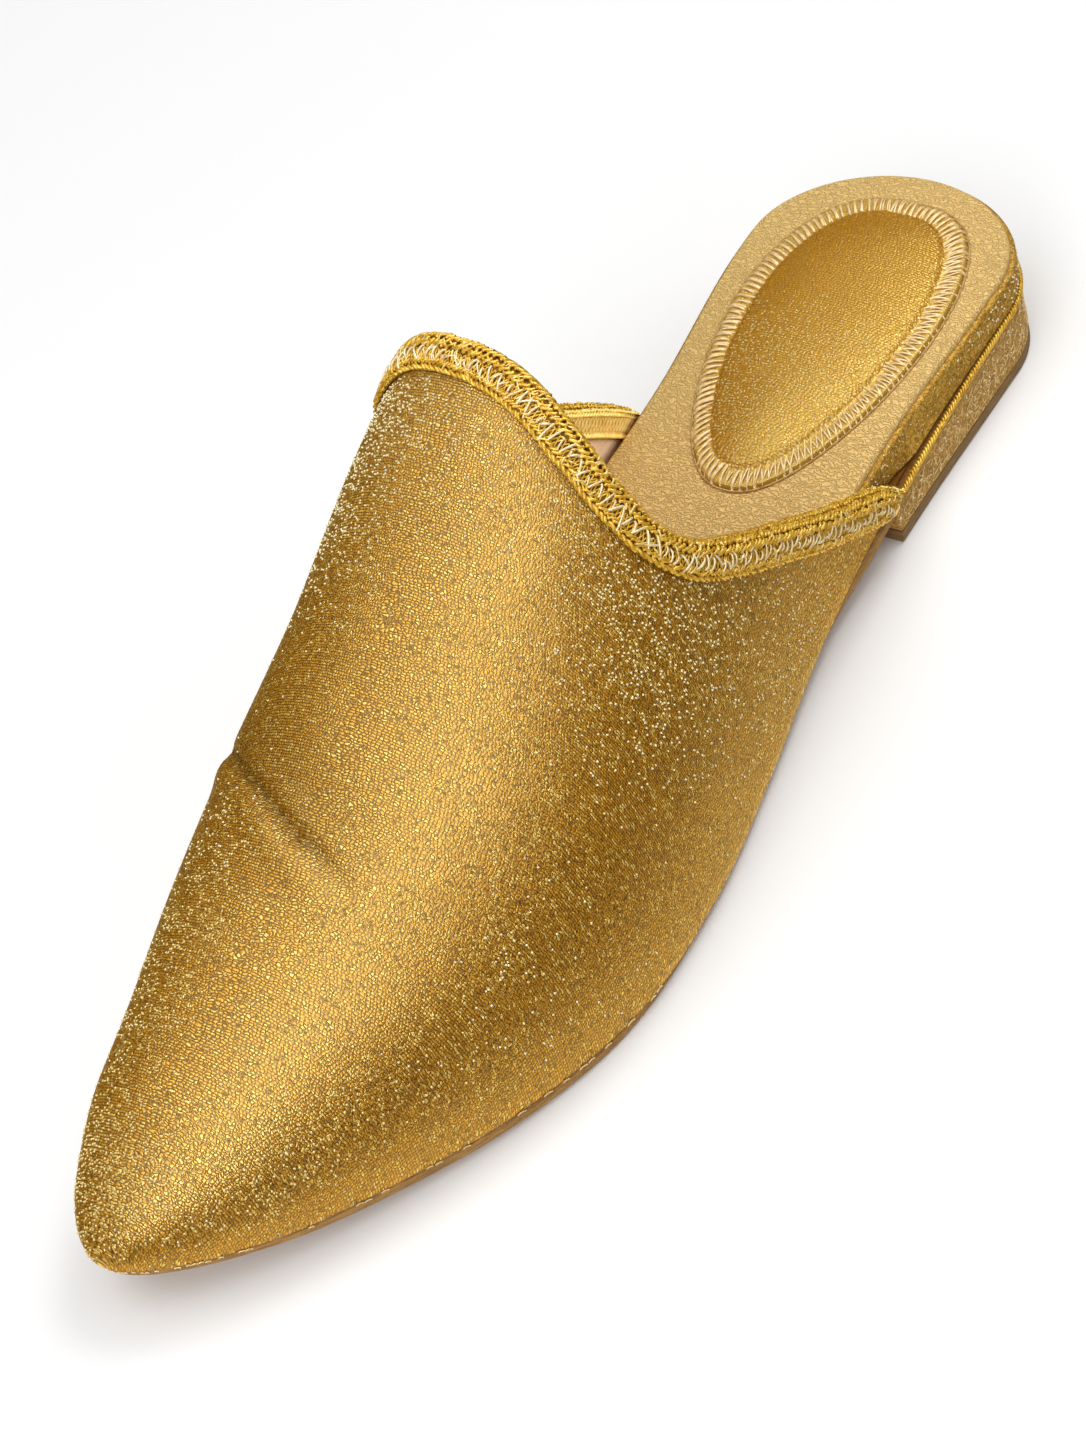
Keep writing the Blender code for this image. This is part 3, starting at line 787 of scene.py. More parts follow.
class Look:
    """A material whose nodes are added with short calls."""

    # Sockets of a mix of colours
    MIX_FIRST = 6
    MIX_SECOND = 7
    MIX_RESULT = 2

    def __init__(self, name, **plain):
        self.material = bpy.data.materials.new(name)
        self.material.use_nodes = True
        self.tree = self.material.node_tree
        self.shader = self.tree.nodes["Principled BSDF"]
        for key, value in plain.items():
            socket = key.replace("_", " ").title().replace("Ior", "IOR")
            self.shader.inputs[socket].default_value = value

    def put(self, socket, value):
        if isinstance(value, bpy.types.NodeSocket):
            self.tree.links.new(value, socket)
        else:
            socket.default_value = value

    def node(self, kind, *values, inputs=None, **settings):
        """A node with its settings, and with its sockets filled in order or by name."""
        made = self.tree.nodes.new(kind)
        for key, value in settings.items():
            setattr(made, key, value)
        for socket, value in zip(made.inputs, values):
            self.put(socket, value)
        for name, value in (inputs or {}).items():
            self.put(made.inputs[name], value)
        return made

    def math(self, operation, *values):
        return self.node("ShaderNodeMath", *values, operation=operation).outputs[0]

    def times(self, first, second):
        return self.math("MULTIPLY", first, second)

    def plus(self, first, second):
        return self.math("ADD", first, second)

    def vector(self, operation, *values):
        return self.node("ShaderNodeVectorMath", *values, operation=operation).outputs[0]

    def cloth(self):
        return self.node("ShaderNodeAttribute", attribute_name="cloth").outputs["Vector"]

    def place(self):
        """The point on the piece, in millimetres."""
        coordinates = self.node("ShaderNodeTexCoord").outputs["Object"]
        return self.vector("MULTIPLY", coordinates, (1 / MM, 1 / MM, 1 / MM))

    def split(self, vector):
        return list(self.node("ShaderNodeSeparateXYZ", vector).outputs)

    def join(self, x, y, z):
        return self.node("ShaderNodeCombineXYZ", x, y, z).outputs[0]

    def noise(self, vector, scale, detail=2.0, distortion=0.0):
        inputs = {"Vector": vector, "Scale": scale, "Detail": detail, "Distortion": distortion}
        return self.node("ShaderNodeTexNoise", inputs=inputs).outputs["Fac"]

    def stir(self, vector, scale, reach):
        """A point moved at random by up to about half the reach each way, smoothly from place to place."""
        made = self.node("ShaderNodeTexNoise", inputs={"Vector": vector, "Scale": scale})
        away = self.vector("SUBTRACT", made.outputs["Color"], (0.5, 0.5, 0.5))
        return self.vector("ADD", vector, self.vector("MULTIPLY", away, (reach, reach, reach)))

    def cells(self, vector, scale, spread=1.0, flat=False):
        """Distance to the nearest spot, and a chance for that spot. A spread of 0 sets them in a grid."""
        inputs = {"Vector": vector, "Scale": scale, "Randomness": spread}
        made = self.node("ShaderNodeTexVoronoi", inputs=inputs, voronoi_dimensions="2D" if flat else "3D")
        return made.outputs["Distance"], self.split(made.outputs["Color"])[0]

    def chance(self, vector):
        return self.node("ShaderNodeTexWhiteNoise", vector, noise_dimensions="3D").outputs["Value"]

    def between(self, value, low, high):
        """0 below low, 1 above high."""
        inputs = {"Value": value, "From Min": low, "From Max": high}
        made = self.node("ShaderNodeMapRange", inputs=inputs, interpolation_type="SMOOTHSTEP")
        return made.outputs["Result"]

    def span(self, value, low, high):
        """Maps 0 to 1 onto low to high."""
        return self.math("MULTIPLY_ADD", value, high - low, low)

    def crest(self, turn):
        """A rounded bump over each whole turn."""
        return self.math("SINE", self.times(self.math("FRACT", turn), math.pi))

    def colour(self, value):
        return value if isinstance(value, bpy.types.NodeSocket) else (*value, 1)

    def mix(self, factor, first, second, **settings):
        inputs = {"Factor": factor, self.MIX_FIRST: self.colour(first), self.MIX_SECOND: self.colour(second)}
        made = self.node("ShaderNodeMix", inputs=inputs, data_type="RGBA", **settings)
        return made.outputs[self.MIX_RESULT]

    def darken(self, colour, factor):
        """A colour times a number."""
        return self.mix(1.0, colour, self.join(factor, factor, factor), blend_type="MULTIPLY")

    def finish(self, colour, roughness, height, depth):
        """Fills the shader. height is a relief from 0 to 1, depth its size."""
        bump = self.node("ShaderNodeBump", inputs={"Height": height, "Distance": depth}).outputs[0]
        for name, value in (("Base Color", colour), ("Roughness", roughness), ("Normal", bump)):
            self.put(self.shader.inputs[name], value)
        return self.material


def grain_nodes(look, place, pitch, least, most):
    """Grain of wavy rows of short ridges, 0 to 1, with a chance for each ridge. The rows are a pitch apart
    and stray by up to about a third of least to most rows."""
    along, over, _ = look.split(place)
    unrest = look.span(look.between(look.noise(place, 0.05), 0.35, 0.65), least, most)
    drift = look.times(look.span(look.noise(place, 0.9, 1.0), -0.5, 0.5), unrest)
    row = look.math("MULTIPLY_ADD", along, 1 / pitch, drift)
    line = look.math("FLOOR", row)
    stagger = look.times(look.chance(look.join(line, 0.0, 0.0)), 7.0)
    sway = look.math("MULTIPLY_ADD", look.noise(place, 1.3), 1.8, stagger)
    step = look.math("MULTIPLY_ADD", over, 0.72 / pitch, sway)
    luck = look.chance(look.join(line, look.math("FLOOR", step), 1.0))
    ridge = look.math("POWER", look.times(look.crest(row), look.crest(step)), 0.7)
    return look.times(ridge, look.span(luck, 0.55, 1.1)), luck


def lame_look():
    """Gold cloth with rows of short ridges, some pale and some dark, with painted shade in the crease."""
    look = Look("lame_cloth", metallic=0.36, ior=GOLD_IOR, specular_ior_level=GOLD_SPECULAR,
                specular_tint=GOLD_SHEEN)
    along, over, flecks = look.split(look.cloth())
    place = look.join(along, over, 0.0)
    grain, luck = grain_nodes(look, place, ROW_PITCH, 0.7, 3.0)
    light = look.times(look.math("GREATER_THAN", luck, look.span(flecks, 0.84, 0.74)), 0.8)
    light = look.times(light, look.between(grain, 0.35, 0.75))
    pit = look.times(look.math("LESS_THAN", luck, 0.06), look.between(grain, 0.38, 0.54))
    cloud = look.span(look.noise(place, 0.08, 3.0), 0.90, 1.10)
    # Painted shade in the crease: the piece's fold attribute darkens the colour there
    fold = look.span(look.node("ShaderNodeAttribute", attribute_name="fold").outputs["Fac"], 1.0, 0.55)
    # Painted shade in the grain's grooves and painted highlight on its crests, over the cloth's own tone
    base = look.mix(look.between(grain, 0.05, 0.35), GOLD_GROOVE_WITH_SHADE, GOLD)
    base = look.mix(look.between(grain, 0.38, 0.80), base, GOLD_CREST_WITH_HIGHLIGHT)
    base = look.mix(light, base, GOLD_LIGHT)
    base = look.mix(look.times(pit, 0.9), base, GOLD_PIT_AND_LEDGE_SHADE)
    colour = look.darken(base, look.times(cloud, fold))
    height = look.math("SUBTRACT", look.plus(grain, light), look.times(pit, 1.2))
    roughness = look.math("MULTIPLY_ADD", pit, 0.2, look.span(grain, 0.35, 0.25))
    return look.finish(colour, roughness, height, 0.075 * MM)


def satin_look():
    """Deep gold satin with very fine rows and sparkles towards the front. A negative share marks the sewn
    border, which is of a duller gold."""
    look = Look("pad_satin", metallic=0.15, ior=GOLD_IOR, specular_ior_level=PAD_SPECULAR,
                specular_tint=PAD_SHEEN)
    along, over, flecks = look.split(look.cloth())
    place = look.join(along, over, 0.0)
    grain, _ = grain_nodes(look, place, PAD_PITCH, 0.5, 1.5)
    grid = look.vector("MULTIPLY", look.stir(place, 1.2, 0.5), (1.5, 1.1, 0.0))
    distance, draw = look.cells(grid, 1.0, 0.9, flat=True)
    dot = look.math("SUBTRACT", 1.0, look.between(distance, 0.14, 0.30))
    fleck = look.times(dot, look.math("GREATER_THAN", draw, look.span(flecks, 1.0, 0.36)))
    cloud = look.span(look.noise(place, 0.1, 2.0), 0.92, 1.08)
    base = look.mix(look.between(grain, 0.05, 0.6), PAD_GROOVE, PAD_GOLD)
    colour = look.mix(look.times(fleck, 0.8), look.darken(base, cloud), PAD_SPARKLE)
    border = look.math("LESS_THAN", flecks, -0.5)
    colour = look.mix(border, colour, look.mix(grain, PAD_BORDER_DARK, PAD_BORDER_LIGHT))
    height = look.plus(grain, fleck)
    return look.finish(colour, look.span(height, 0.38, 0.30), height, 0.085 * MM)


def glitter_look(name, light, dark):
    """Gold cloth of swirling fibres with pale flecks, and painted shade where the piece's first cloth
    coordinate says.
    """
    look = Look(name, metallic=0.35, specular_tint=GLITTER_SHEEN)
    place = look.place()
    swirl = look.noise(place, 0.7, 3.0, 3.0)
    fibre = look.noise(place, 2.4, 3.0, 1.5)
    distance, luck = look.cells(place, 1.5)
    spot = look.math("SUBTRACT", 1.0, look.between(distance, 0.16, 0.30))
    fleck = look.times(spot, look.math("GREATER_THAN", luck, 0.72))
    strand = look.times(look.between(swirl, 0.35, 0.65), look.span(fibre, 0.4, 1.4))
    colour = look.mix(fleck, look.mix(strand, dark, light), GOLD_PALE)
    # Painted shade: the colour is darkened towards the pit colour by the piece's first cloth coordinate
    colour = look.mix(look.split(look.cloth())[0], colour, GOLD_PIT_AND_LEDGE_SHADE)
    height = look.plus(look.times(fibre, 0.8), fleck)
    return look.finish(colour, look.span(fleck, 0.55, 0.30), height, 0.14 * MM)


def sock_look():
    """Pale gold coated sheet with a fine grain of wavy ridges."""
    look = Look("sock_sheet", metallic=0.1, specular_tint=SOCK_SHEEN)
    place = look.place()
    along, _, _ = look.split(place)
    drift = look.span(look.noise(place, 0.8, 2.0), -2.4, 2.4)
    ridge = look.crest(look.math("MULTIPLY_ADD", along, 1 / SOCK_PITCH, drift))
    grain = look.times(ridge, look.span(look.noise(place, 1.7), 0.3, 1.3))
    cloud = look.span(look.noise(place, 0.06, 3.0), 0.93, 1.07)
    base = look.mix(look.between(grain, 0.0, 0.8), SOCK_DARK, SOCK_LIGHT)
    return look.finish(look.darken(base, cloud), look.span(grain, 0.58, 0.44), grain, 0.17 * MM)


def thread_look(name, light, dark, metallic, roughness, ior):
    """Metallic thread: brightness varies along it, with fine fibres."""
    look = Look(name, metallic=metallic, ior=ior, specular_tint=THREAD_SHEEN)
    place = look.place()
    fibre = look.noise(place, 5.0, 2.0)
    tone = look.mix(look.between(look.noise(place, 0.9, 2.0), 0.3, 0.65), dark, light)
    return look.finish(tone, look.span(fibre, roughness - 0.08, roughness + 0.12), fibre, 0.05 * MM)


def sole_look(name, light, dark):
    """Matte tan sheet with fine streaks along its edge."""
    look = Look(name, metallic=0.0)
    place = look.place()
    streak = look.noise(look.vector("MULTIPLY", place, (0.25, 0.25, 3.0)), 1.0, 3.0)
    speck = look.noise(place, 2.5, 2.0)
    mottle = look.plus(streak, look.times(speck, 0.4))
    tone = look.mix(look.between(mottle, 0.5, 0.95), dark, light)
    return look.finish(tone, look.span(speck, 0.55, 0.75), streak, 0.08 * MM)


def lining_look():
    """Pinkish tan woven lining."""
    look = Look("lining", metallic=0.0)
    along, over, flecks = look.split(look.cloth())
    warp, weft = (look.crest(look.math("DIVIDE", way, LINING_PITCH)) for way in (along, over))
    weave = look.times(warp, weft)
    cloud = look.span(look.noise(look.join(along, over, flecks), 0.1, 3.0), 0.88, 1.08)
    base = look.mix(weave, LINING_DARK, LINING_LIGHT)
    return look.finish(look.darken(base, cloud), look.span(weave, 0.85, 0.7), weave, 0.06 * MM)


# Upper

def crease_run(x, around):
    """Share of the way along the crease over the toe joint, distance from it and its strength there."""
    start = np.array([CREASE_START[0], CREASE_START[1] * CREASE_GIRTH])
    end = np.array([CREASE_END[0], CREASE_END[1] * CREASE_GIRTH])
    run = end - start
    length = np.linalg.norm(run)
    ahead = run / length
    dx, dv = x - start[0], around * CREASE_GIRTH - start[1]
    t = (dx * ahead[0] + dv * ahead[1]) / length
    off = dx * -ahead[1] + dv * ahead[0]
    growth = ease((t - CREASE_GROWS_FROM) / CREASE_GROWTH)
    return t, off, growth * ease((CREASE_FADES_TO - t) / CREASE_FADING)


def crease(x, around):
    """Height of the crease over the toe joint: a trough, a broad hollow behind it and a ridge in front."""
    t, off, strength = crease_run(x, around)
    trough = CREASE_DEPTH * bell(off, CREASE_HALF_WIDTH)
    hollow = CREASE_HOLLOW_DEPTH * bell(off - CREASE_HOLLOW_OFFSET, CREASE_HOLLOW_HALF_WIDTH)
    ridge = CREASE_RIDGE_HEIGHT * bell(off - CREASE_RIDGE_OFFSET, CREASE_RIDGE_HALF_WIDTH)
    return strength * (ridge - trough - hollow * ease(t / CREASE_HOLLOW_GROWTH))


def painted_fold_shade(x, around):
    """Painted shade in the crease, 0 to 1: how far the cloth's colour is darkened there."""
    _, off, strength = crease_run(x, around)
    hollow = CREASE_HOLLOW_PAINTED_SHADE * bell(off - CREASE_HOLLOW_OFFSET, CREASE_HOLLOW_HALF_WIDTH)
    return strength * np.maximum(bell(off, CREASE_HALF_WIDTH), hollow)


def ridge_lengths():
    """x along the ridge and the length of cloth from the back to it."""
    x = np.linspace(0, SHOE_LENGTH, RIDGE_POINTS)
    return x, run_lengths(upper_surface(x, 0.5))


def girth(x):
    """Length of the cloth round the upper from sole to sole."""
    around = np.linspace(0, 1, GIRTH_POINTS)
    stations = np.linspace(GIRTH_START, SHOE_LENGTH, GIRTH_STATIONS)
    section = upper_surface(stations[:, None], around[None, :])
    lengths = np.linalg.norm(np.diff(section, axis=1), axis=-1).sum(axis=1)
    return np.interp(x, stations, lengths)


def fleck_share(x, around):
    """How thick the flecks lie at places on the upper, from 0."""
    share = np.zeros(np.shape(x))
    for zone_x, zone_around, reach_x, reach_around, amount in ZONES:
        away = ((x / MM - zone_x) / reach_x) ** 2 + ((around - zone_around) / reach_around) ** 2
        share = np.maximum(share, amount * np.exp(-away**ZONE_EDGE))
    return share


def cloth_coordinates(x, around):
    along = np.interp(x, *ridge_lengths())
    over = (around - 0.5) * girth(x)
    return np.stack([along / MM, over / MM, fleck_share(x, around)], -1)


def upper_skin(rows, columns, depth, wrap):
    """Points of the upper at a depth under its outer face, closed at the toe tip, their cloth coordinates
    and the painted shade of the crease. Its lower edge wraps down over the sole."""
    along = 1 - (1 - np.linspace(0, 1, rows)) ** TOE_STEP_POWER
    around = np.linspace(0, 1, columns)[None, :]
    start = topline_x(around)
    x = start + (SHOE_LENGTH - TIP_REACH - start) * along[:, None]
    around = np.broadcast_to(around, x.shape)
    surface = upper_surface(x, around)
    points = surface + outward(x, around) * (crease(x, around) - depth)[..., None]
    edges = (0, -1)
    wrapped = wrap * sole_tuck(x[:, edges])
    points[:, edges, 2] = surface[:, edges, 2] - wrapped
    points[:, edges, 1] += wrapped * WRAP_LEAN * np.array([-1, 1])
    tip = upper_surface(SHOE_LENGTH, 0) - (depth, 0, wrap * float(sole_tuck(SHOE_LENGTH)))
    points = np.concatenate([points, np.broadcast_to(tip, (1, columns, 3))])
    coordinates = cloth_coordinates(x, around)
    painted_shade = painted_fold_shade(x, around)
    return points, np.concatenate([coordinates, coordinates[-1:]]), np.concatenate([painted_shade, painted_shade[-1:]])


def make_shell(name, rows, columns, top, bottom, wrap, material):
    """A closed layer of the upper between two depths under its outer face."""
    outer, coordinates, painted_shade = upper_skin(rows, columns, top, wrap)
    inner, _, _ = upper_skin(rows, columns, bottom, wrap)
    count = outer.shape[0] * outer.shape[1]
    quads = grid_quads(*outer.shape[:2])
    index = np.arange(count).reshape(outer.shape[:2])
    faces = [*quads[:, ::-1], *(quads + count)]
    for edge in (index[0], index[:, 0], index[:, -1]):
        faces.extend(np.stack([edge[:-1], edge[1:], edge[1:] + count, edge[:-1] + count], -1))
    points = np.concatenate([outer.reshape(-1, 3), inner.reshape(-1, 3)])
    piece = add_piece(name, points, faces, material)
    set_coordinates(piece, np.concatenate([coordinates.reshape(-1, 3)] * 2))
    # Painted shade of the crease, by which the cloth's material darkens its colour
    attribute = piece.data.attributes.new("fold", "FLOAT", "POINT")
    attribute.data.foreach_set("value", np.concatenate([painted_shade.ravel()] * 2).astype(np.float32))
    weld(piece, SHELL_SHARP)
    return piece


def make_upper(cloth, lining):
    outer = make_shell(
        "upper_cloth", CLOTH_ROWS, CLOTH_COLUMNS, 0, CLOTH_THICKNESS, WRAP_DROP, cloth,
    )
    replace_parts(outer, "upper")
    inside = CLOTH_THICKNESS + LINING_GAP
    make_shell("upper_lining", LINING_ROWS, LINING_COLUMNS, inside, UPPER_WALL, 0, lining)


def place_fleck(heap, point, normal, tangent, length, width, height):
    """A small many-sided dome lying on a surface."""
    across = np.cross(normal, tangent)
    turn = np.linspace(0, 2 * np.pi, FLECK_SIDES, endpoint=False)[:, None]
    rim = point + np.cos(turn) * tangent * length / 2 + np.sin(turn) * across * width / 2
    top = point + normal * height
    faces = [(i, (i + 1) % FLECK_SIDES, FLECK_SIDES) for i in range(FLECK_SIDES)]
    base = tuple(reversed(range(FLECK_SIDES)))
    heap.add(np.concatenate([rim - normal * height / 2, [top]]), [*faces, base])


def scatter_flecks(heap, points, normals, tangents, random):
    """Flecks of uneven size and turn at given places, which lean up towards the light."""
    for point, normal, tangent in zip(points, normals, tangents):
        across = np.cross(normal, tangent)
        turn = random.normal(0, FLECK_TURN)
        aim = tangent * math.cos(turn) + across * math.sin(turn)
        face = unit(normal + FLECK_LEAN * UP)
        aim = unit(aim - face * np.dot(aim, face))
        sizes = [random.uniform(*span) * MM for span in (FLECK_LENGTH, FLECK_WIDTH, FLECK_HEIGHT)]
        place_fleck(heap, point + normal * FLECK_LIFT * MM, face, aim, *sizes)


def fleck_places(random):
    """x and around of flecks on the rows of the upper's cloth, thick where the zones say."""
    table_x, table_length = ridge_lengths()
    start = np.interp(HEEL_BREAST, table_x, table_length)
    spots = []
    for row in np.arange(start, table_length[-1] - MM, BEAD_PITCH * MM):
        pitch = FLECK_PITCH * MM / float(girth(np.interp(row, table_length, table_x)))
        around = np.arange(*FLECK_SPAN, pitch)
        around = around + random.normal(0, FLECK_STRAY * pitch, len(around))
        stray = random.normal(0, FLECK_ROW_STRAY * BEAD_PITCH * MM, len(around))
        x = np.interp(row + stray, table_length, table_x)
        keep = random.random(len(around)) < FLECK_MOST * fleck_share(x, around) + FLECK_LEAST
        keep &= x > topline_x(np.clip(around, 0, 1)) + BRAID_WIDTH
        spots.extend(zip(x[keep], around[keep]))
    return np.array(spots).T


def make_upper_flecks(pale, golden):
    """Flecks on the upper: pale ones, and golden ones at the toe."""
    random = np.random.default_rng(SEED)
    x, around = fleck_places(random)
    normals = outward(x, around)
    points = upper_surface(x, around) + normals * crease(x, around)[:, None]
    over = unit(upper_surface(x, around + NUDGE_AROUND) - upper_surface(x, around - NUDGE_AROUND))
    tangents = unit(over - normals * np.sum(over * normals, axis=1, keepdims=True))
    groups = (("upper_flecks", x <= TOE_BEADS, pale), ("toe_beads", x > TOE_BEADS, golden))
    for name, chosen, material in groups:
        heap = Heap()
        scatter_flecks(heap, points[chosen], normals[chosen], tangents[chosen], random)
        heap.piece(name, material, "lame_cloth")


# Soles, heel and footbed

def make_plate(name, start_x, end_x, steps, layers, material, node, painted_shade=None):
    """A closed body with the shoe's own outline. Each layer is (outset at x, height at x), from the bottom
    up. The last argument gives each layer a share of painted shade, which the material darkens by."""
    levels = []
    for outset, height in layers:
        lateral, medial = outline(start_x, end_x, steps, outset)
        plan = np.concatenate([lateral, medial[::-1]])
        levels.append(raised(plan, height(plan[:, 0])))
    levels = np.array(levels)
    size = levels.shape[1]
    faces = list(grid_quads(len(levels), size, closed=True))
    for base in (0, (len(levels) - 1) * size):
        strip = base + np.arange(steps)
        other = base + size - 1 - np.arange(steps)
        faces.extend(np.stack([strip, strip + 1, other - 1, other], -1))
    piece = add_piece(name, levels, faces, material)
    # Each layer's share of painted shade goes to the material in the first cloth coordinate
    dark = np.zeros(len(levels)) if painted_shade is None else np.array(painted_shade)
    set_coordinates(piece, np.broadcast_to(dark[:, None, None], levels.shape))
    weld(piece, PLATE_SHARP)
    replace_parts(piece, node)


def rounded_edge(edge, top, radius, steps=4):
    """Layers that turn a vertical side into a top face along a quarter circle."""
    layers = []
    for angle in np.linspace(0, np.pi / 2, steps):
        layers.append((edge(radius * (1 - math.cos(angle))), above(top, radius * (math.sin(angle) - 1))))
    return layers


def tip_tuck(x):
    return SOLE_TIP_TUCK * ease((x - SOLE_TIP_START) / (SHOE_LENGTH - SOLE_TIP_START))


def sole_edge(outset):
    """Outset of the sole, which draws in under the cloth and once more at the tip."""
    return lambda x: outset - SOLE_TUCK * sole_tuck(x) - tip_tuck(x)


def make_soles(sole, lift):
    layers = [
        (sole_edge(SOLE_OUTSET - SOLE_BEVEL), sole_underside),
        (sole_edge(SOLE_OUTSET), above(sole_underside, SOLE_BEVEL)),
    ]
    for inset, drop in SOLE_SHOULDER:
        layers.append((sole_edge(SOLE_OUTSET - inset * MM), above(seat, -drop * MM)))
    make_plate("outsole_sheet", HEEL_BREAST + GAP, SHOE_LENGTH, SOLE_STEPS, layers, sole, "outsole")
    layers = [
        (constant(HEEL_BASE_OUTSET - LIFT_BEVEL), constant(0)),
        (constant(HEEL_BASE_OUTSET), constant(LIFT_BEVEL)),
        (constant(HEEL_BASE_OUTSET), constant(TOP_LIFT_THICKNESS)),
    ]
    make_plate("heel_lift", 0, HEEL_BREAST, HEEL_STEPS, layers, lift, "heel_top_lift")


def make_heel(glitter):
    layers = [
        (constant(HEEL_BASE_OUTSET), constant(TOP_LIFT_THICKNESS + GAP)),
        (constant(HEEL_BASE_OUTSET * HEEL_WAIST_SHARE), above(seat, -HEEL_WAIST)),
    ]
    for inset, drop in HEEL_RIM:
        layers.append((constant(-inset * MM), above(seat, -HEEL_REBATE - drop * MM)))
    layers += [(constant(-HEEL_REBATE), above(seat, -HEEL_NECK)), (constant(-HEEL_REBATE), seat)]
    # The cover's ledge under the rand is painted dark as its shadow
    make_plate(
        "heel_cover", 0, HEEL_BREAST, HEEL_STEPS, layers, glitter, "heel_block", HEEL_PAINTED_SHADE,
    )


def rand_edge(share):
    """Outset of the footbed's side, which leans out over the heel where no upper wraps it."""
    return lambda x: -last("bed_inset", x) * (1 - share * ease((RAND_FREE - x) / RAND_FLARE_REACH))


def make_footbed(glitter, sock):
    layers = [(rand_edge(share), above(seat, GAP + rise * MM)) for share, rise in RAND_PROFILE]
    layers += rounded_edge(bed_edge, bed_top, BED_EDGE_BEVEL)
    make_plate("footbed_rand", 0, SHOE_LENGTH, BED_STEPS, layers, glitter, "footbed")
    inset = BED_EDGE_BEVEL + SOCK_INSET
    layers = [(bed_edge(inset), above(bed_top, GAP * SOCK_FOOT))]
    layers += rounded_edge(lambda more: bed_edge(inset + more), sock_top, SOCK_ROUND, SOCK_ROUND_STEPS)
    make_plate("insole_cover", 0, SHOE_LENGTH, BED_STEPS, layers, sock, "insole_sock")


# Heel pad

def pad_ring(inset, turn):
    """Plan points round the teardrop pad, drawn in from its edge. turn runs once round from the back."""
    along = (1 - np.cos(turn)) / 2
    lean = along ** (math.log(0.5) / math.log(PAD_WIDEST))
    half = (PAD_HALF_WIDTH - inset) * np.maximum(np.sin(np.pi * lean), 0) ** PAD_ROUNDNESS
    x = PAD_BACK + inset + (PAD_FRONT - PAD_BACK - 2 * inset) * along
    return np.stack([x, PAD_CENTRE + np.where(turn <= np.pi, half, -half)], -1)


def even_turns(inset, count):
    """Turns that are evenly spaced along the pad's edge, and the length of that edge."""
    fine = np.linspace(0, 2 * np.pi, EDGE_POINTS)
    length = run_lengths(pad_ring(inset, fine))
    return np.interp(np.linspace(0, length[-1], count, endpoint=False), length, fine), length[-1]


def turn_rate(turn, length):
    """How fast turn grows along the pad's edge, against an even growth."""
    ends = pad_ring(0, np.array([turn - NUDGE_TURN, turn + NUDGE_TURN]) % (2 * np.pi))
    return 2 * NUDGE_TURN / np.linalg.norm(ends[1] - ends[0]) * length / (2 * np.pi)


def pad_height(inset, share):
    """Height of the pad over the sock: a thin sewn border, a low shoulder and a pillow-like crown."""
    border = PAD_EDGE_RISE * quarter_round(inset, PAD_EDGE_ROUND) + PAD_EDGE_BASE
    shoulder = ease((inset - PAD_BORDER + PAD_SHOULDER_START) / PAD_SHOULDER_REACH)
    middle = np.clip((inset - PAD_BORDER) / (PAD_HALF_WIDTH - PAD_BORDER), 0, 1)
    crown = 1 - (1 - middle) ** PAD_CROWN_POWER
    pucker = bell(inset - PAD_BORDER - PAD_PUCKER_OFFSET, PAD_PUCKER_HALF_WIDTH)
    ripple = PAD_PUCKER * np.cos(2 * np.pi * PAD_STITCHES * share) * pucker
    return border + PAD_SHOULDER_RISE * shoulder + PAD_CROWN_RISE * crown + ripple


def pad_point(inset, turn, lift):
    """Points over the pad's outline, lifted off the sock."""
    plan = pad_ring(inset, turn)
    return raised(plan, sock_top(plan[..., 0]) + PAD_LIFT + lift)


def make_pad(satin):
    turns, _ = even_turns(0, PAD_STEPS)
    share = np.arange(PAD_STEPS) / PAD_STEPS
    insets = np.concatenate([np.linspace(*rows) for rows in PAD_RINGS]) * MM
    levels = [pad_point(0, turns, 0.0)]
    for inset in insets:
        levels.append(pad_point(min(inset, PAD_HALF_WIDTH), turns, pad_height(inset, share)))
    levels = np.array(levels)
    faces = [*grid_quads(len(levels), PAD_STEPS, closed=True), np.arange(PAD_STEPS)[::-1]]
    piece = add_piece("heel_pad_satin", levels, faces, satin)
    front = ease((levels[..., 0] - PAD_SPARKLE_START) / PAD_SPARKLE_REACH)
    front[np.concatenate([[0], insets]) < PAD_BORDER] = -1
    set_coordinates(piece, np.stack([levels[..., 0] / MM, levels[..., 1] / MM, front], -1))
    weld(piece, SOFT_SHARP)
    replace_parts(piece, "heel_pad")


def zigzag_share(turn):
    """How far the whip stitches run in a zigzag, 0 to 1: only on the lateral side."""
    x, y = pad_ring(0, np.array(turn))
    return float(ease((y - PAD_CENTRE) / ZIGZAG_SIDE) * ease((x - ZIGZAG_START) / ZIGZAG_REACH))


def whip_route(random, turn, side, zigzag, length):
    """One strand of a whip stitch, from the satin over the pad's border to the sock."""
    pitch = length / PAD_STITCHES
    way = np.linspace(0, 1, WHIP_POINTS)
    strand = side * (WHIP_SPREAD + ZIGZAG_SPREAD * zigzag)
    slant = ZIGZAG_SLANT * side * zigzag + WHIP_SLANT * (1 - zigzag) + random.normal(0, WHIP_SLANT_STRAY)
    inner = PAD_BORDER + random.uniform(*WHIP_INNER) * MM
    outer = random.uniform(*WHIP_OUTER) * MM
    inset = inner + (outer - inner) * way
    shift = (slant * (1 - 2 * way) + strand + random.normal(0, WHIP_STRAY)) * pitch
    turned = turn + shift * 2 * np.pi / length * turn_rate(turn, length)
    lift = pad_height(np.maximum(inset, 0), 0.0) + WHIP_LIFT - WHIP_SINK * (1 - np.sin(np.pi * way) ** 0.5)
    lift = np.where(inset < WHIP_EDGE, np.minimum(lift, WHIP_EDGE_LIFT), lift)
    return pad_point(inset, turned, lift)


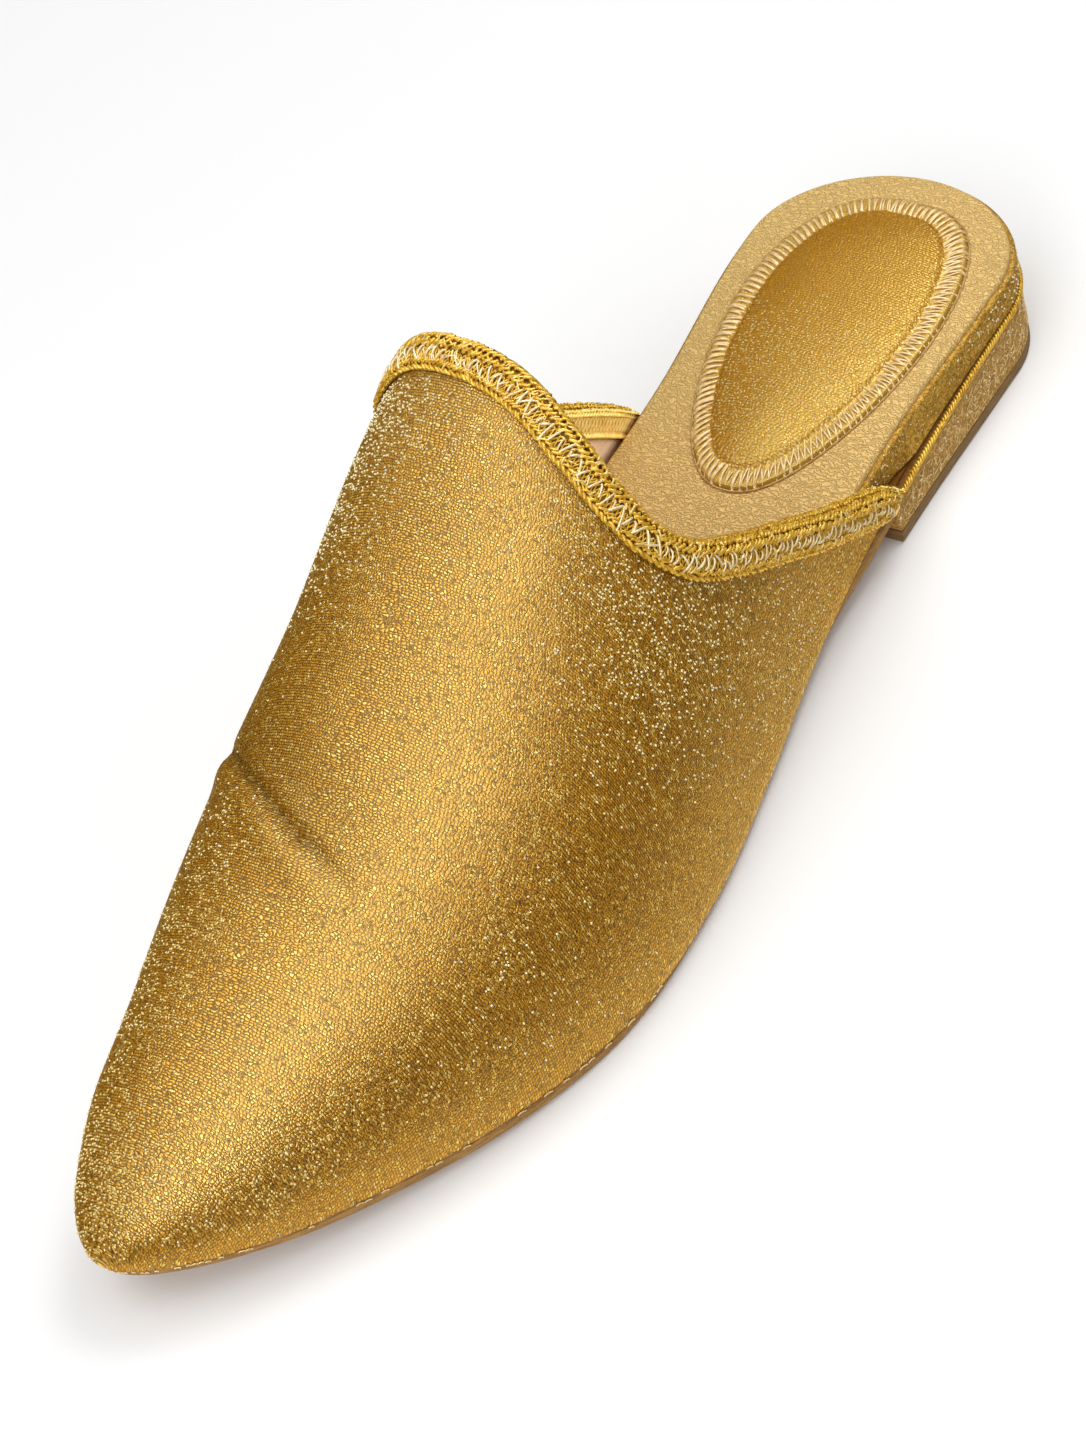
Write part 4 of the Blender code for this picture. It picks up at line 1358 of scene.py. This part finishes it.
def make_pad_stitches(thread):
    """Whipped thread over the pad's border: two strands a stitch, side by side or meeting in a zigzag."""
    random = np.random.default_rng(SEED + 1)
    turns, length = even_turns(0, PAD_STITCHES)
    heap = Heap()
    for turn in turns:
        zigzag = zigzag_share(turn)
        for side in (-1, 1):
            route = whip_route(random, turn, side, zigzag, length)
            radius = (WHIP_RADIUS - ZIGZAG_THINNER * zigzag) * random.uniform(*WHIP_UNEVEN) * MM
            heap.tube(route, UP, radius)
    heap.piece("pad_whip_stitches", thread, "braid")


def make_pad_edge_cord(cord):
    """A thin twisted cord on the sock along the pad's outer edge."""
    turns, length = even_turns(-PAD_CORD_OUTSET, PAD_CORD_POINTS)
    heap = Heap()
    for phase in (0, np.pi):
        rounds = np.round(length / PAD_CORD_PITCH)
        twist = phase + 2 * np.pi * rounds * np.arange(PAD_CORD_POINTS) / PAD_CORD_POINTS
        plan = pad_ring(-PAD_CORD_OUTSET + PAD_CORD_TWIST * np.cos(twist), turns)
        height = sock_top(plan[:, 0]) + PAD_CORD_LIFT + PAD_CORD_TWIST * np.sin(twist)
        heap.loop(raised(plan, height), UP, PAD_CORD_RADIUS, FINE_SIDES)
    heap.piece("pad_edge_cord", cord, "cord")


# Braid on the top edge

def edge_table():
    """Turns round the top edge, the length from its lateral end to each, and there how far along the foot a
    way square to the edge takes (slant) and how far it takes along the edge meanwhile (shear)."""
    turns = np.linspace(0, 1, EDGE_POINTS)
    x = topline_x(turns)
    edge = upper_surface(x, turns)
    along = (upper_surface(x + NUDGE_X, turns) - edge) / NUDGE_X
    run = unit(np.gradient(edge, turns, axis=0))
    slants = 1 / np.linalg.norm(np.cross(run, along), axis=1)
    return turns, run_lengths(edge), slants, slants * np.sum(run * along, axis=1)


EDGE_TURNS, EDGE_LENGTHS, EDGE_SLANTS, EDGE_SHEARS = edge_table()
EDGE_LENGTH = EDGE_LENGTHS[-1]


class BraidRoute:
    """Places along the top edge, given by their lengths from its lateral end."""

    def __init__(self, length):
        self.length = np.clip(length, 0, EDGE_LENGTH)
        self.shear = np.interp(self.length, EDGE_LENGTHS, EDGE_SHEARS)
        around = np.interp(self.length, EDGE_LENGTHS, EDGE_TURNS)
        self.tuck = BRAID_TUCK + (1 - BRAID_TUCK) * ease(np.minimum(around, 1 - around) / BRAID_TUCK_REACH)
        self.rise = 1 - FOLD_DIP * ease((around - FOLD_DIP_START) / FOLD_DIP_REACH)

    def square_to_edge(self, down):
        """x and around of places at a way down from the edge, square to it."""
        length = np.clip(self.length - down * self.shear, 0, EDGE_LENGTH)
        around = np.interp(length, EDGE_LENGTHS, EDGE_TURNS)
        return topline_x(around) + down * np.interp(length, EDGE_LENGTHS, EDGE_SLANTS), around

    def points(self, down, out):
        """Points at a way down from the edge and a height over the upper's outer face."""
        x, around = self.square_to_edge(down)
        return upper_surface(x, around) + outward(x, around) * np.reshape(out, (-1, 1))

    def normals(self, down):
        return outward(*self.square_to_edge(down))

    def over_fold(self, way, lift):
        """Points at a way round the braid's section, 0 at the outer face's top edge and less than 0 over the
        fold, lifted off the tape."""
        turn = np.clip(-way / FOLD_LENGTH, 0, 1) * np.pi
        down = np.maximum(way, 0) - (FOLD_RISE * self.rise + lift) * np.sin(turn)
        out = FOLD_MIDDLE + (FOLD_REACH + lift) * np.cos(turn)
        return self.points(down, out)


def unrest(length, random, every, size):
    """A smooth random wander along a length."""
    knots = np.arange(0, length[-1] + 2 * every, every)
    return np.interp(length, knots, random.normal(0, size, len(knots)))


def twists(length, pitch):
    """Turns of two strands that wind round each other along a length."""
    return [phase + 2 * np.pi * length / pitch for phase in (0, np.pi)]


def to_and_fro(phase):
    """A zigzag between -1 and 1 with slightly rounded corners."""
    return np.arcsin(THREAD_SHARPNESS * np.sin(phase)) / (np.pi / 2)


def inner_rows(route, section):
    """Lines of points on the inner face of the upper, one for each corner of a section."""
    return [route.points(np.full(len(route.length), down * MM), INSIDE - deep * MM * route.tuck)
            for down, deep in section]


def add_band(name, rows, material):
    """A closed band along the edge, from the lines of points along its corners."""
    points = np.array(rows).transpose(1, 0, 2)
    length, count = points.shape[:2]
    ends = [np.arange(count), (np.arange(count) + (length - 1) * count)[::-1]]
    piece = add_piece(name, points, [*grid_quads(length, count, closed=True), *ends], material)
    weld(piece, SOFT_SHARP)
    return piece


def make_braid_tape(material):
    """The folded tape under the cords."""
    route = BraidRoute(np.arange(0, EDGE_LENGTH, TAPE_STEP))
    all_along = np.ones(len(route.length))
    rows = []
    for down, out in TAPE_OUTER + TAPE_FOLD:
        fall = down * MM * (route.rise if down < 0 else all_along)
        rows.append(route.points(fall, out * MM * all_along))
    rows += inner_rows(route, TAPE_INNER)
    for out in (INSIDE, GAP):
        rows.append(route.points(-GAP * all_along, out * all_along))
    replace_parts(add_band("braid_tape", rows, material), "topline_braid")


def make_inner_band(material):
    """A flat band on the inner face of the tape, under its cords."""
    route = BraidRoute(np.arange(0, EDGE_LENGTH, TAPE_STEP))
    add_band("braid_inner_band", inner_rows(route, INNER_BAND), material)


def chain(heap, length, random, middle, half_width, radius, pitch):
    """Two strands looped through each other along the edge, unevenly, at a way round the braid's section.
    They thin out towards its ends."""
    to_end = np.minimum(length, EDGE_LENGTH - length)
    size = CHAIN_END_SIZE + (1 - CHAIN_END_SIZE) * ease(to_end / CHAIN_TAPER)
    middle = CHAIN_MEETING + (middle - CHAIN_MEETING) * size
    for start in (0.0, 0.5):
        phase = 2 * np.pi * (length / pitch + start + unrest(length, random, *CHAIN_PHASE_STRAY))
        swing = size * (1 + unrest(length, random, *CHAIN_SWING_STRAY))
        route = BraidRoute(length + CHAIN_LOOP * pitch * np.sin(2 * phase))
        way = middle + half_width * swing * np.sin(phase) + unrest(length, random, *CHAIN_WAY_STRAY)
        lift = radius * size * (CHAIN_LIFT + CHAIN_WAVE * np.cos(phase + CHAIN_LEAD))
        lift = lift + unrest(length, random, *CHAIN_LIFT_STRAY)
        thickness = radius * size * (1 + unrest(length, random, *CHAIN_RADIUS_STRAY))
        heap.tube(route.over_fold(way, lift), route.normals(way), thickness)


def make_chains(name, chains, length, random, gold):
    heap = Heap()
    for sizes in chains:
        chain(heap, length, random, *(size * MM for size in sizes))
    heap.piece(name, gold, "braid")


def make_edge_roll(route, random, gold):
    """Two uneven strands twisted along the braid's lower edge."""
    length = route.length
    heap = Heap()
    middle = ROLL_DOWN + unrest(length, random, *ROLL_DOWN_STRAY)
    for start in (0.0, 0.5):
        twist = 2 * np.pi * (length / ROLL_PITCH + start + unrest(length, random, *ROLL_PHASE_STRAY))
        down = middle + ROLL_TWIST * np.cos(twist)
        thickness = ROLL_RADIUS * (1 + unrest(length, random, *ROLL_RADIUS_STRAY))
        heap.tube(route.points(down, ROLL_OUT + ROLL_TWIST * np.sin(twist)), route.normals(down), thickness)
    heap.piece("braid_edge_roll", gold, "braid")


def make_net(route, random, gold):
    """Threads that run to and fro between the chains of the outer face."""
    heap = Heap()
    for start in NET_STARTS:
        phase = 2 * np.pi * (route.length / NET_PITCH + start + unrest(route.length, random, *NET_STRAY))
        down = (NET_HIGH + NET_LOW) / 2 + (NET_LOW - NET_HIGH) / 2 * to_and_fro(phase)
        out = NET_OUT + NET_WAVE * np.cos(phase) ** 2
        heap.tube(route.points(down, out), route.normals(down), NET_RADIUS, FINE_SIDES)
    heap.piece("braid_net", gold, "braid")


def make_inner_cords(route, gold):
    """Two twisted cords and a net between them on the inner face of the braid."""
    heap = Heap()
    for middle, radius in INNER_CORDS:
        for twist in twists(route.length, INNER_CORD_PITCH):
            down = middle + radius * np.cos(twist)
            out = INSIDE - (INNER_CORD_DEPTH + radius * np.sin(twist)) * route.tuck
            heap.tube(route.points(down, out), route.normals(down), radius * route.tuck, FINE_SIDES)
    for phase in twists(route.length, INNER_NET_PITCH):
        down = (INNER_NET_MIDDLE + INNER_NET_REACH * to_and_fro(phase)) * MM
        out = INSIDE - (INNER_NET_DEPTH + INNER_NET_WAVE * np.cos(phase) ** 2) * route.tuck
        thickness = INNER_NET_RADIUS * route.tuck
        heap.tube(route.points(down, out), route.normals(down), thickness, FINE_SIDES)
    heap.piece("braid_inner_cords", gold, "braid")


def dashes(heap, random, start, end, pitch, low, high, out, radius, zigzag):
    """Short pale stitches across the middle of the braid, in an uneven zigzag or all one way."""
    way = np.linspace(0, 1, DASH_POINTS)
    for number, place in enumerate(np.arange(start, end, pitch * MM)):
        turn = (-1.0) ** number if zigzag else 1.0
        place = place + random.normal(0, DASH_STRAY * (pitch * MM))
        lean = pitch * MM * (DASH_LEAN * turn + random.normal(0, DASH_LEAN_STRAY))
        first = low * MM + random.normal(0, DASH_END_STRAY) * MM
        second = high * MM + random.normal(0, DASH_END_STRAY) * MM
        route = BraidRoute(place + lean * (way - 0.5))
        down = first + (second - first) * way
        rise = out * MM + DASH_BOW * np.sin(np.pi * way) - DASH_SINK * (2 * way - 1) ** 4
        thickness = radius * MM * random.uniform(*DASH_UNEVEN)
        heap.tube(route.points(down, rise), route.normals(down), thickness, FINE_SIDES)


def make_lacing(random, pale):
    heap = Heap()
    dashes(heap, random, MM, LATERAL_LACING, *LATERAL_DASHES)
    dashes(heap, random, LATERAL_LACING, EDGE_LENGTH - MM, *FRONT_DASHES)
    heap.piece("braid_lacing", pale, "braid")


def make_glints(random, light):
    """Short pale stitches laid at random over the cords."""
    heap = Heap()
    way = np.linspace(-0.5, 0.5, GLINT_POINTS)
    for _ in range(GLINTS):
        place = random.uniform(GLINT_MARGIN, EDGE_LENGTH - GLINT_MARGIN)
        middle = random.uniform(*GLINT_MIDDLE) * MM
        reach = random.uniform(*GLINT_REACH) * MM
        lean = random.choice((-1, 1)) * random.uniform(*GLINT_LEAN)
        route = BraidRoute(place + reach * math.sin(lean) * way)
        down = middle + reach * math.cos(lean) * way
        lift = random.uniform(*GLINT_LIFT) * MM + GLINT_BOW * (GLINT_BOW_MIDDLE - way ** 2)
        radius = random.uniform(*GLINT_RADIUS) * MM
        heap.tube(route.over_fold(down, lift), route.normals(down), radius, FINE_SIDES)
    heap.piece("braid_glints", light, "braid")


def make_braid(threads):
    """Gold bands over the fold and at the bottom, a gold net between them and pale stitches over it."""
    gold = threads["gold_thread"]
    # The cords inside the shoe take a lighter gold thread, partly painted light
    inner = threads["inner_thread_painted_light"]
    make_braid_tape(threads["braid_tape"])
    random = np.random.default_rng(SEED + 4)
    length = np.arange(0, EDGE_LENGTH, STRAND_STEP)
    rear = length > INNER_FOLD_START * EDGE_LENGTH
    make_chains("braid_inner_chain", INNER_CHAINS, length, random, inner)
    make_chains("braid_inner_fold", FOLD_CHAINS, length[rear], random, gold)
    make_chains("braid_fold_cords", FOLD_CHAINS, length[~rear], random, gold)
    make_chains("braid_cords", FACE_CHAINS, length, random, gold)
    route = BraidRoute(length)
    make_edge_roll(route, random, gold)
    make_net(route, random, gold)
    make_inner_band(threads["inner_band"])
    make_inner_cords(route, inner)
    make_lacing(random, threads["pale_thread"])
    make_glints(random, threads["light_thread"])


# Cords, stitches, flecks and fibres on the heel and sole

def at_lengths(at, lengths, values):
    """Rows of values at given lengths along a line."""
    return np.stack([np.interp(at, lengths, column) for column in values.T], -1)


def heel_route(end_x, outset, height):
    """Evenly spaced points round the back of the shoe from the lateral to the medial side, with plan
    normals, and the length from the first point to each."""
    t = np.linspace(along_at(0), along_at(end_x), HEEL_CORD_POINTS)
    normals = np.concatenate([side_normal(t[::-1], 1), side_normal(t[1:], -1)])
    plan = np.concatenate([side_point(t[::-1], 1), side_point(t[1:], -1)]) + normals * outset
    points = raised(plan, height(plan[:, 0]))
    lengths = run_lengths(points)
    at = np.arange(0, lengths[-1], STRAND_STEP)
    level = raised(normals, np.zeros(len(normals)))
    return at_lengths(at, lengths, points), unit(at_lengths(at, lengths, level)), at


def make_heel_cord(gold):
    """Two twisted strands round the top edge of the heel, up to the braid's ends."""
    points, normals, length = heel_route(CORD_END, CORD_OUTSET, above(seat, -CORD_DROP))
    heap = Heap()
    for twist in twists(length, HEEL_CORD_PITCH):
        around = normals * np.cos(twist)[:, None] + UP * np.sin(twist)[:, None]
        heap.tube(points + HEEL_CORD_TWIST * around, normals, HEEL_CORD_RADIUS)
    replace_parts(heap.piece("heel_cord_twist", gold, "cord"), "heel_cord")


def make_sole_stitches(thread):
    """Small stitches here and there in the seam between upper and sole, round the forefoot."""
    random = np.random.default_rng(SEED + 2)
    heap = Heap()
    reach = np.linspace(-SOLE_STITCH_REACH, SOLE_STITCH_REACH, SOLE_STITCH_POINTS)
    bow = SOLE_STITCH_BOW * np.sin(np.linspace(0, np.pi, SOLE_STITCH_POINTS))
    for side in (1, -1):
        places = np.linspace(along_at(SOLE_STITCH_START), SOLE_STITCH_END, SOLE_STITCH_PLACES)
        for place in places[random.random(len(places)) < SOLE_STITCH_CHANCE]:
            turns = place + reach * random.uniform(*SOLE_STITCH_UNEVEN)
            plan = side_point(turns, side) + side_normal(turns, side) * SOLE_STITCH_OUTSET
            rise = bow - random.uniform(*SOLE_STITCH_SINK) * MM
            heap.tube(raised(plan, seat(plan[:, 0]) + rise), UP, SOLE_STITCH_RADIUS, FINE_SIDES)
    heap.piece("sole_stitches", thread, "braid")


def make_side_flecks(material):
    """Pale flecks on the heel cover and on the footbed's side."""
    random = np.random.default_rng(SEED + 3)
    heap = Heap()
    bands = (
        (HEEL_FLECKS, HEEL_BREAST, constant(HEEL_FLECK_OUTSET),
         constant(HEEL_FLECK_LOW), above(seat, -HEEL_FLECK_DROP)),
        (RAND_FLECKS, RAND_FLECK_END, bed_edge(0),
         above(seat, RAND_FLECK_RISE), above(bed_top, -BED_EDGE_BEVEL)),
    )
    for count, end_x, outset, low, high in bands:
        t = random.uniform(along_at(0), along_at(end_x), count)
        lateral = random.choice((1.0, -1.0), count)[:, None] > 0
        flat = np.where(lateral, side_normal(t, 1), side_normal(t, -1))
        plan = np.where(lateral, side_point(t, 1), side_point(t, -1))
        plan = plan + flat * outset(plan[:, 0])[:, None]
        bottom, top = low(plan[:, 0]), high(plan[:, 0])
        points = raised(plan, bottom + (top - bottom) * random.random(count))
        angle = random.uniform(0, np.pi, count)[:, None]
        level = np.stack([-flat[:, 1], flat[:, 0], np.zeros(count)], -1)
        tangents = level * np.cos(angle) + UP * np.sin(angle)
        scatter_flecks(heap, points, raised(flat, np.zeros(count)), tangents, random)
    heap.piece("heel_flecks", material, "glitter_cloth")


def fibre_route(random):
    """A short curling line on the heel cover, cut back at the cover's rims, with the cover's normals."""
    run = np.linspace(-0.5, 0.5, FIBRE_POINTS)
    end = along_at(HEEL_BREAST)
    side = random.choice((1.0, -1.0))
    t = random.uniform(along_at(FIBRE_START), end)
    angle = random.uniform(0, 2 * np.pi)
    length = random.uniform(*FIBRE_LENGTH) * MM
    heading = angle + random.normal(0, FIBRE_BEND) * run
    curl = np.cumsum(np.stack([np.cos(heading), np.sin(heading)], -1), axis=0) * length / FIBRE_POINTS
    nudged = np.linalg.norm(side_point(t + NUDGE_ALONG, side) - side_point(t, side))
    turns = np.clip(t + curl[:, 0] / nudged * NUDGE_ALONG, 0, end)
    plan = side_point(turns, side)
    top = seat(plan[:, 0])
    low, high = TOP_LIFT_THICKNESS + FIBRE_FOOT, top - HEEL_REBATE - FIBRE_HEAD
    height = np.clip(random.uniform(low, high[0]) + curl[:, 1], low, high)
    share = np.clip((height - TOP_LIFT_THICKNESS) / (top - HEEL_WAIST - TOP_LIFT_THICKNESS), 0, 1)
    outset = HEEL_BASE_OUTSET * (1 - (1 - HEEL_WAIST_SHARE) * share) + FIBRE_LIFT
    normals = side_normal(turns, side)
    return raised(plan + normals * outset[:, None], height), raised(normals, np.zeros(FIBRE_POINTS))


def make_heel_fibres(material):
    """Fibres all over the heel cover, each kept where the rims leave its every step a length."""
    random = np.random.default_rng(SEED + 5)
    heap = Heap()
    for _ in range(HEEL_FIBRES):
        route, normals = fibre_route(random)
        radius = random.uniform(*FIBRE_RADIUS) * MM
        if np.linalg.norm(np.diff(route, axis=0), axis=1).min() > MERGE_DISTANCE:
            heap.tube(route, normals, radius, FIBRE_SIDES)
    heap.piece("heel_fibres", material, "glitter_cloth")


# Studio

def toward(azimuth, elevation):
    """Unit vector at angles in degrees."""
    turn, rise = math.radians(azimuth), math.radians(elevation)
    return np.array([math.cos(rise) * math.cos(turn), math.cos(rise) * math.sin(turn), math.sin(rise)])


def stand(thing, right, up, back, place):
    """Sets an object's axes and its place."""
    matrix = np.eye(4)
    matrix[:3] = np.stack([right, up, back, place], -1)
    thing.matrix_world = Matrix(matrix.tolist())


def make_camera():
    """The photograph's view of the shoe, turned about its own axis as the photograph is."""
    roll = math.radians(CAMERA_ROLL)
    back = toward(CAMERA_AZIMUTH, CAMERA_ELEVATION)
    right = unit(np.cross(UP, back))
    up = np.cross(back, right)
    right, up = right * math.cos(roll) + up * math.sin(roll), up * math.cos(roll) - right * math.sin(roll)
    place = CAMERA_AIM + back * CAMERA_DISTANCE + SHIFT
    back = unit(back + right * CAMERA_OFFSET[0] / CAMERA_FOCAL - up * CAMERA_OFFSET[1] / CAMERA_FOCAL)
    right = unit(np.cross(up, back))
    data = bpy.data.cameras.new("camera")
    data.sensor_fit = "VERTICAL"
    data.sensor_height = SENSOR_HEIGHT
    data.lens = CAMERA_FOCAL * SENSOR_HEIGHT / PHOTO_HEIGHT
    data.clip_start = CAMERA_CLIP
    camera = add_object("camera", data)
    stand(camera, right, np.cross(back, right), back, place)
    bpy.context.scene.camera = camera


def add_paper(name, points, faces, look):
    """A plain sheet of the studio, which no shiny face mirrors."""
    mesh = bpy.data.meshes.new(name)
    mesh.from_pydata(points, [], faces)
    mesh.materials.append(look.material)
    paper = add_object(name, mesh)
    paper.visible_glossy = False
    return paper


def make_floor():
    half = FLOOR_HALF
    look = Look("floor_paper", metallic=0.0, roughness=0.9, base_color=FLOOR_COLOUR, emission_color=WHITE,
                emission_strength=FLOOR_GLOW)
    corners = [(-half, -half, 0), (half, -half, 0), (half, half, 0), (-half, half, 0)]
    floor = add_paper("floor", corners, [(0, 1, 2, 3)], look)


def make_backdrop():
    """A pale wall far round the floor, which lights nothing."""
    turn = np.linspace(0, 2 * np.pi, BACKDROP_SIDES, endpoint=False)
    ring = np.stack([np.cos(turn), np.sin(turn)], -1) * BACKDROP_RADIUS
    points = np.array([raised(ring, np.full(BACKDROP_SIDES, z)) for z in (0, BACKDROP_HEIGHT)])
    look = Look("backdrop_paper", base_color=BLACK, emission_color=WHITE, emission_strength=BACKDROP_GLOW)
    faces = grid_quads(2, BACKDROP_SIDES, closed=True).tolist()
    backdrop = add_paper("backdrop", points.reshape(-1, 3).tolist(), faces, look)
    backdrop.visible_diffuse = False
    backdrop.visible_shadow = False


def add_softbox(name):
    """A square area light that points at the shoe."""
    azimuth, elevation, distance, size, power = SOFTBOXES[name]
    data = bpy.data.lights.new(name, "AREA")
    data.shape = "SQUARE"
    data.size = size
    data.energy = power
    light = add_object(name, data)
    back = toward(azimuth, elevation)
    right = unit(np.cross(UP, back))
    stand(light, right, np.cross(back, right), back, back * distance)
    return light


def make_sky():
    """A room whose brightness goes by the height of the direction."""
    world = bpy.data.worlds.new("studio")
    bpy.context.scene.world = world
    world.use_nodes = True
    tree = world.node_tree
    direction = tree.nodes.new("ShaderNodeTexCoord").outputs["Generated"]
    height = tree.nodes.new("ShaderNodeSeparateXYZ")
    tree.links.new(direction, height.inputs[0])
    half = tree.nodes.new("ShaderNodeMath")
    half.operation = "MULTIPLY_ADD"
    half.inputs[1].default_value = 0.5
    half.inputs[2].default_value = 0.5
    tree.links.new(height.outputs["Z"], half.inputs[0])
    ramp = tree.nodes.new("ShaderNodeValToRGB")
    tree.links.new(half.outputs[0], ramp.inputs[0])
    while len(ramp.color_ramp.elements) < len(SKY):
        ramp.color_ramp.elements.new(0.5)
    for element, (elevation, level) in zip(ramp.color_ramp.elements, SKY):
        element.position = 0.5 + 0.5 * math.sin(math.radians(elevation))
        tint = FLOOR_TINT if elevation < 0 else (1.0, 1.0, 1.0)
        element.color = (*(level * share for share in tint), 1)
    background = tree.nodes["Background"]
    tree.links.new(ramp.outputs[0], background.inputs[0])
    background.inputs[1].default_value = SKY_STRENGTH


def make_light():
    """The room and its softboxes. The fill isn't mirrored, and one box reaches only the shoe's inside."""
    make_sky()
    boxes = {name: add_softbox(name) for name in SOFTBOXES}
    boxes["softbox_fill"].visible_glossy = False
    inside = bpy.data.collections.new("inside")
    for name in INSIDE_PIECES:
        inside.objects.link(bpy.data.objects[name])
    boxes["softbox_inside"].light_linking.receiver_collection = inside


def main():
    bpy.context.scene.view_settings.view_transform = "Standard"
    threads = {name: thread_look(name, *values) for name, values in THREADS.items()}
    make_camera()
    make_upper(lame_look(), lining_look())
    make_upper_flecks(threads["fleck"], threads["bead"])
    make_soles(sole_look("sole_sheet", *SOLE_SHEET), sole_look("lift_rubber", *LIFT_RUBBER))
    make_heel(glitter_look("heel_cloth", *HEEL_CLOTH))
    make_footbed(glitter_look("rand_cloth", *RAND_CLOTH), sock_look())
    make_pad(satin_look())
    make_pad_stitches(threads["cream_thread"])
    make_pad_edge_cord(threads["edge_thread"])
    make_braid(threads)
    make_heel_cord(threads["gold_thread"])
    make_sole_stitches(threads["cream_thread"])
    make_side_flecks(threads["fleck"])
    make_heel_fibres(threads["fibre"])
    make_floor()
    make_backdrop()
    make_light()


main()
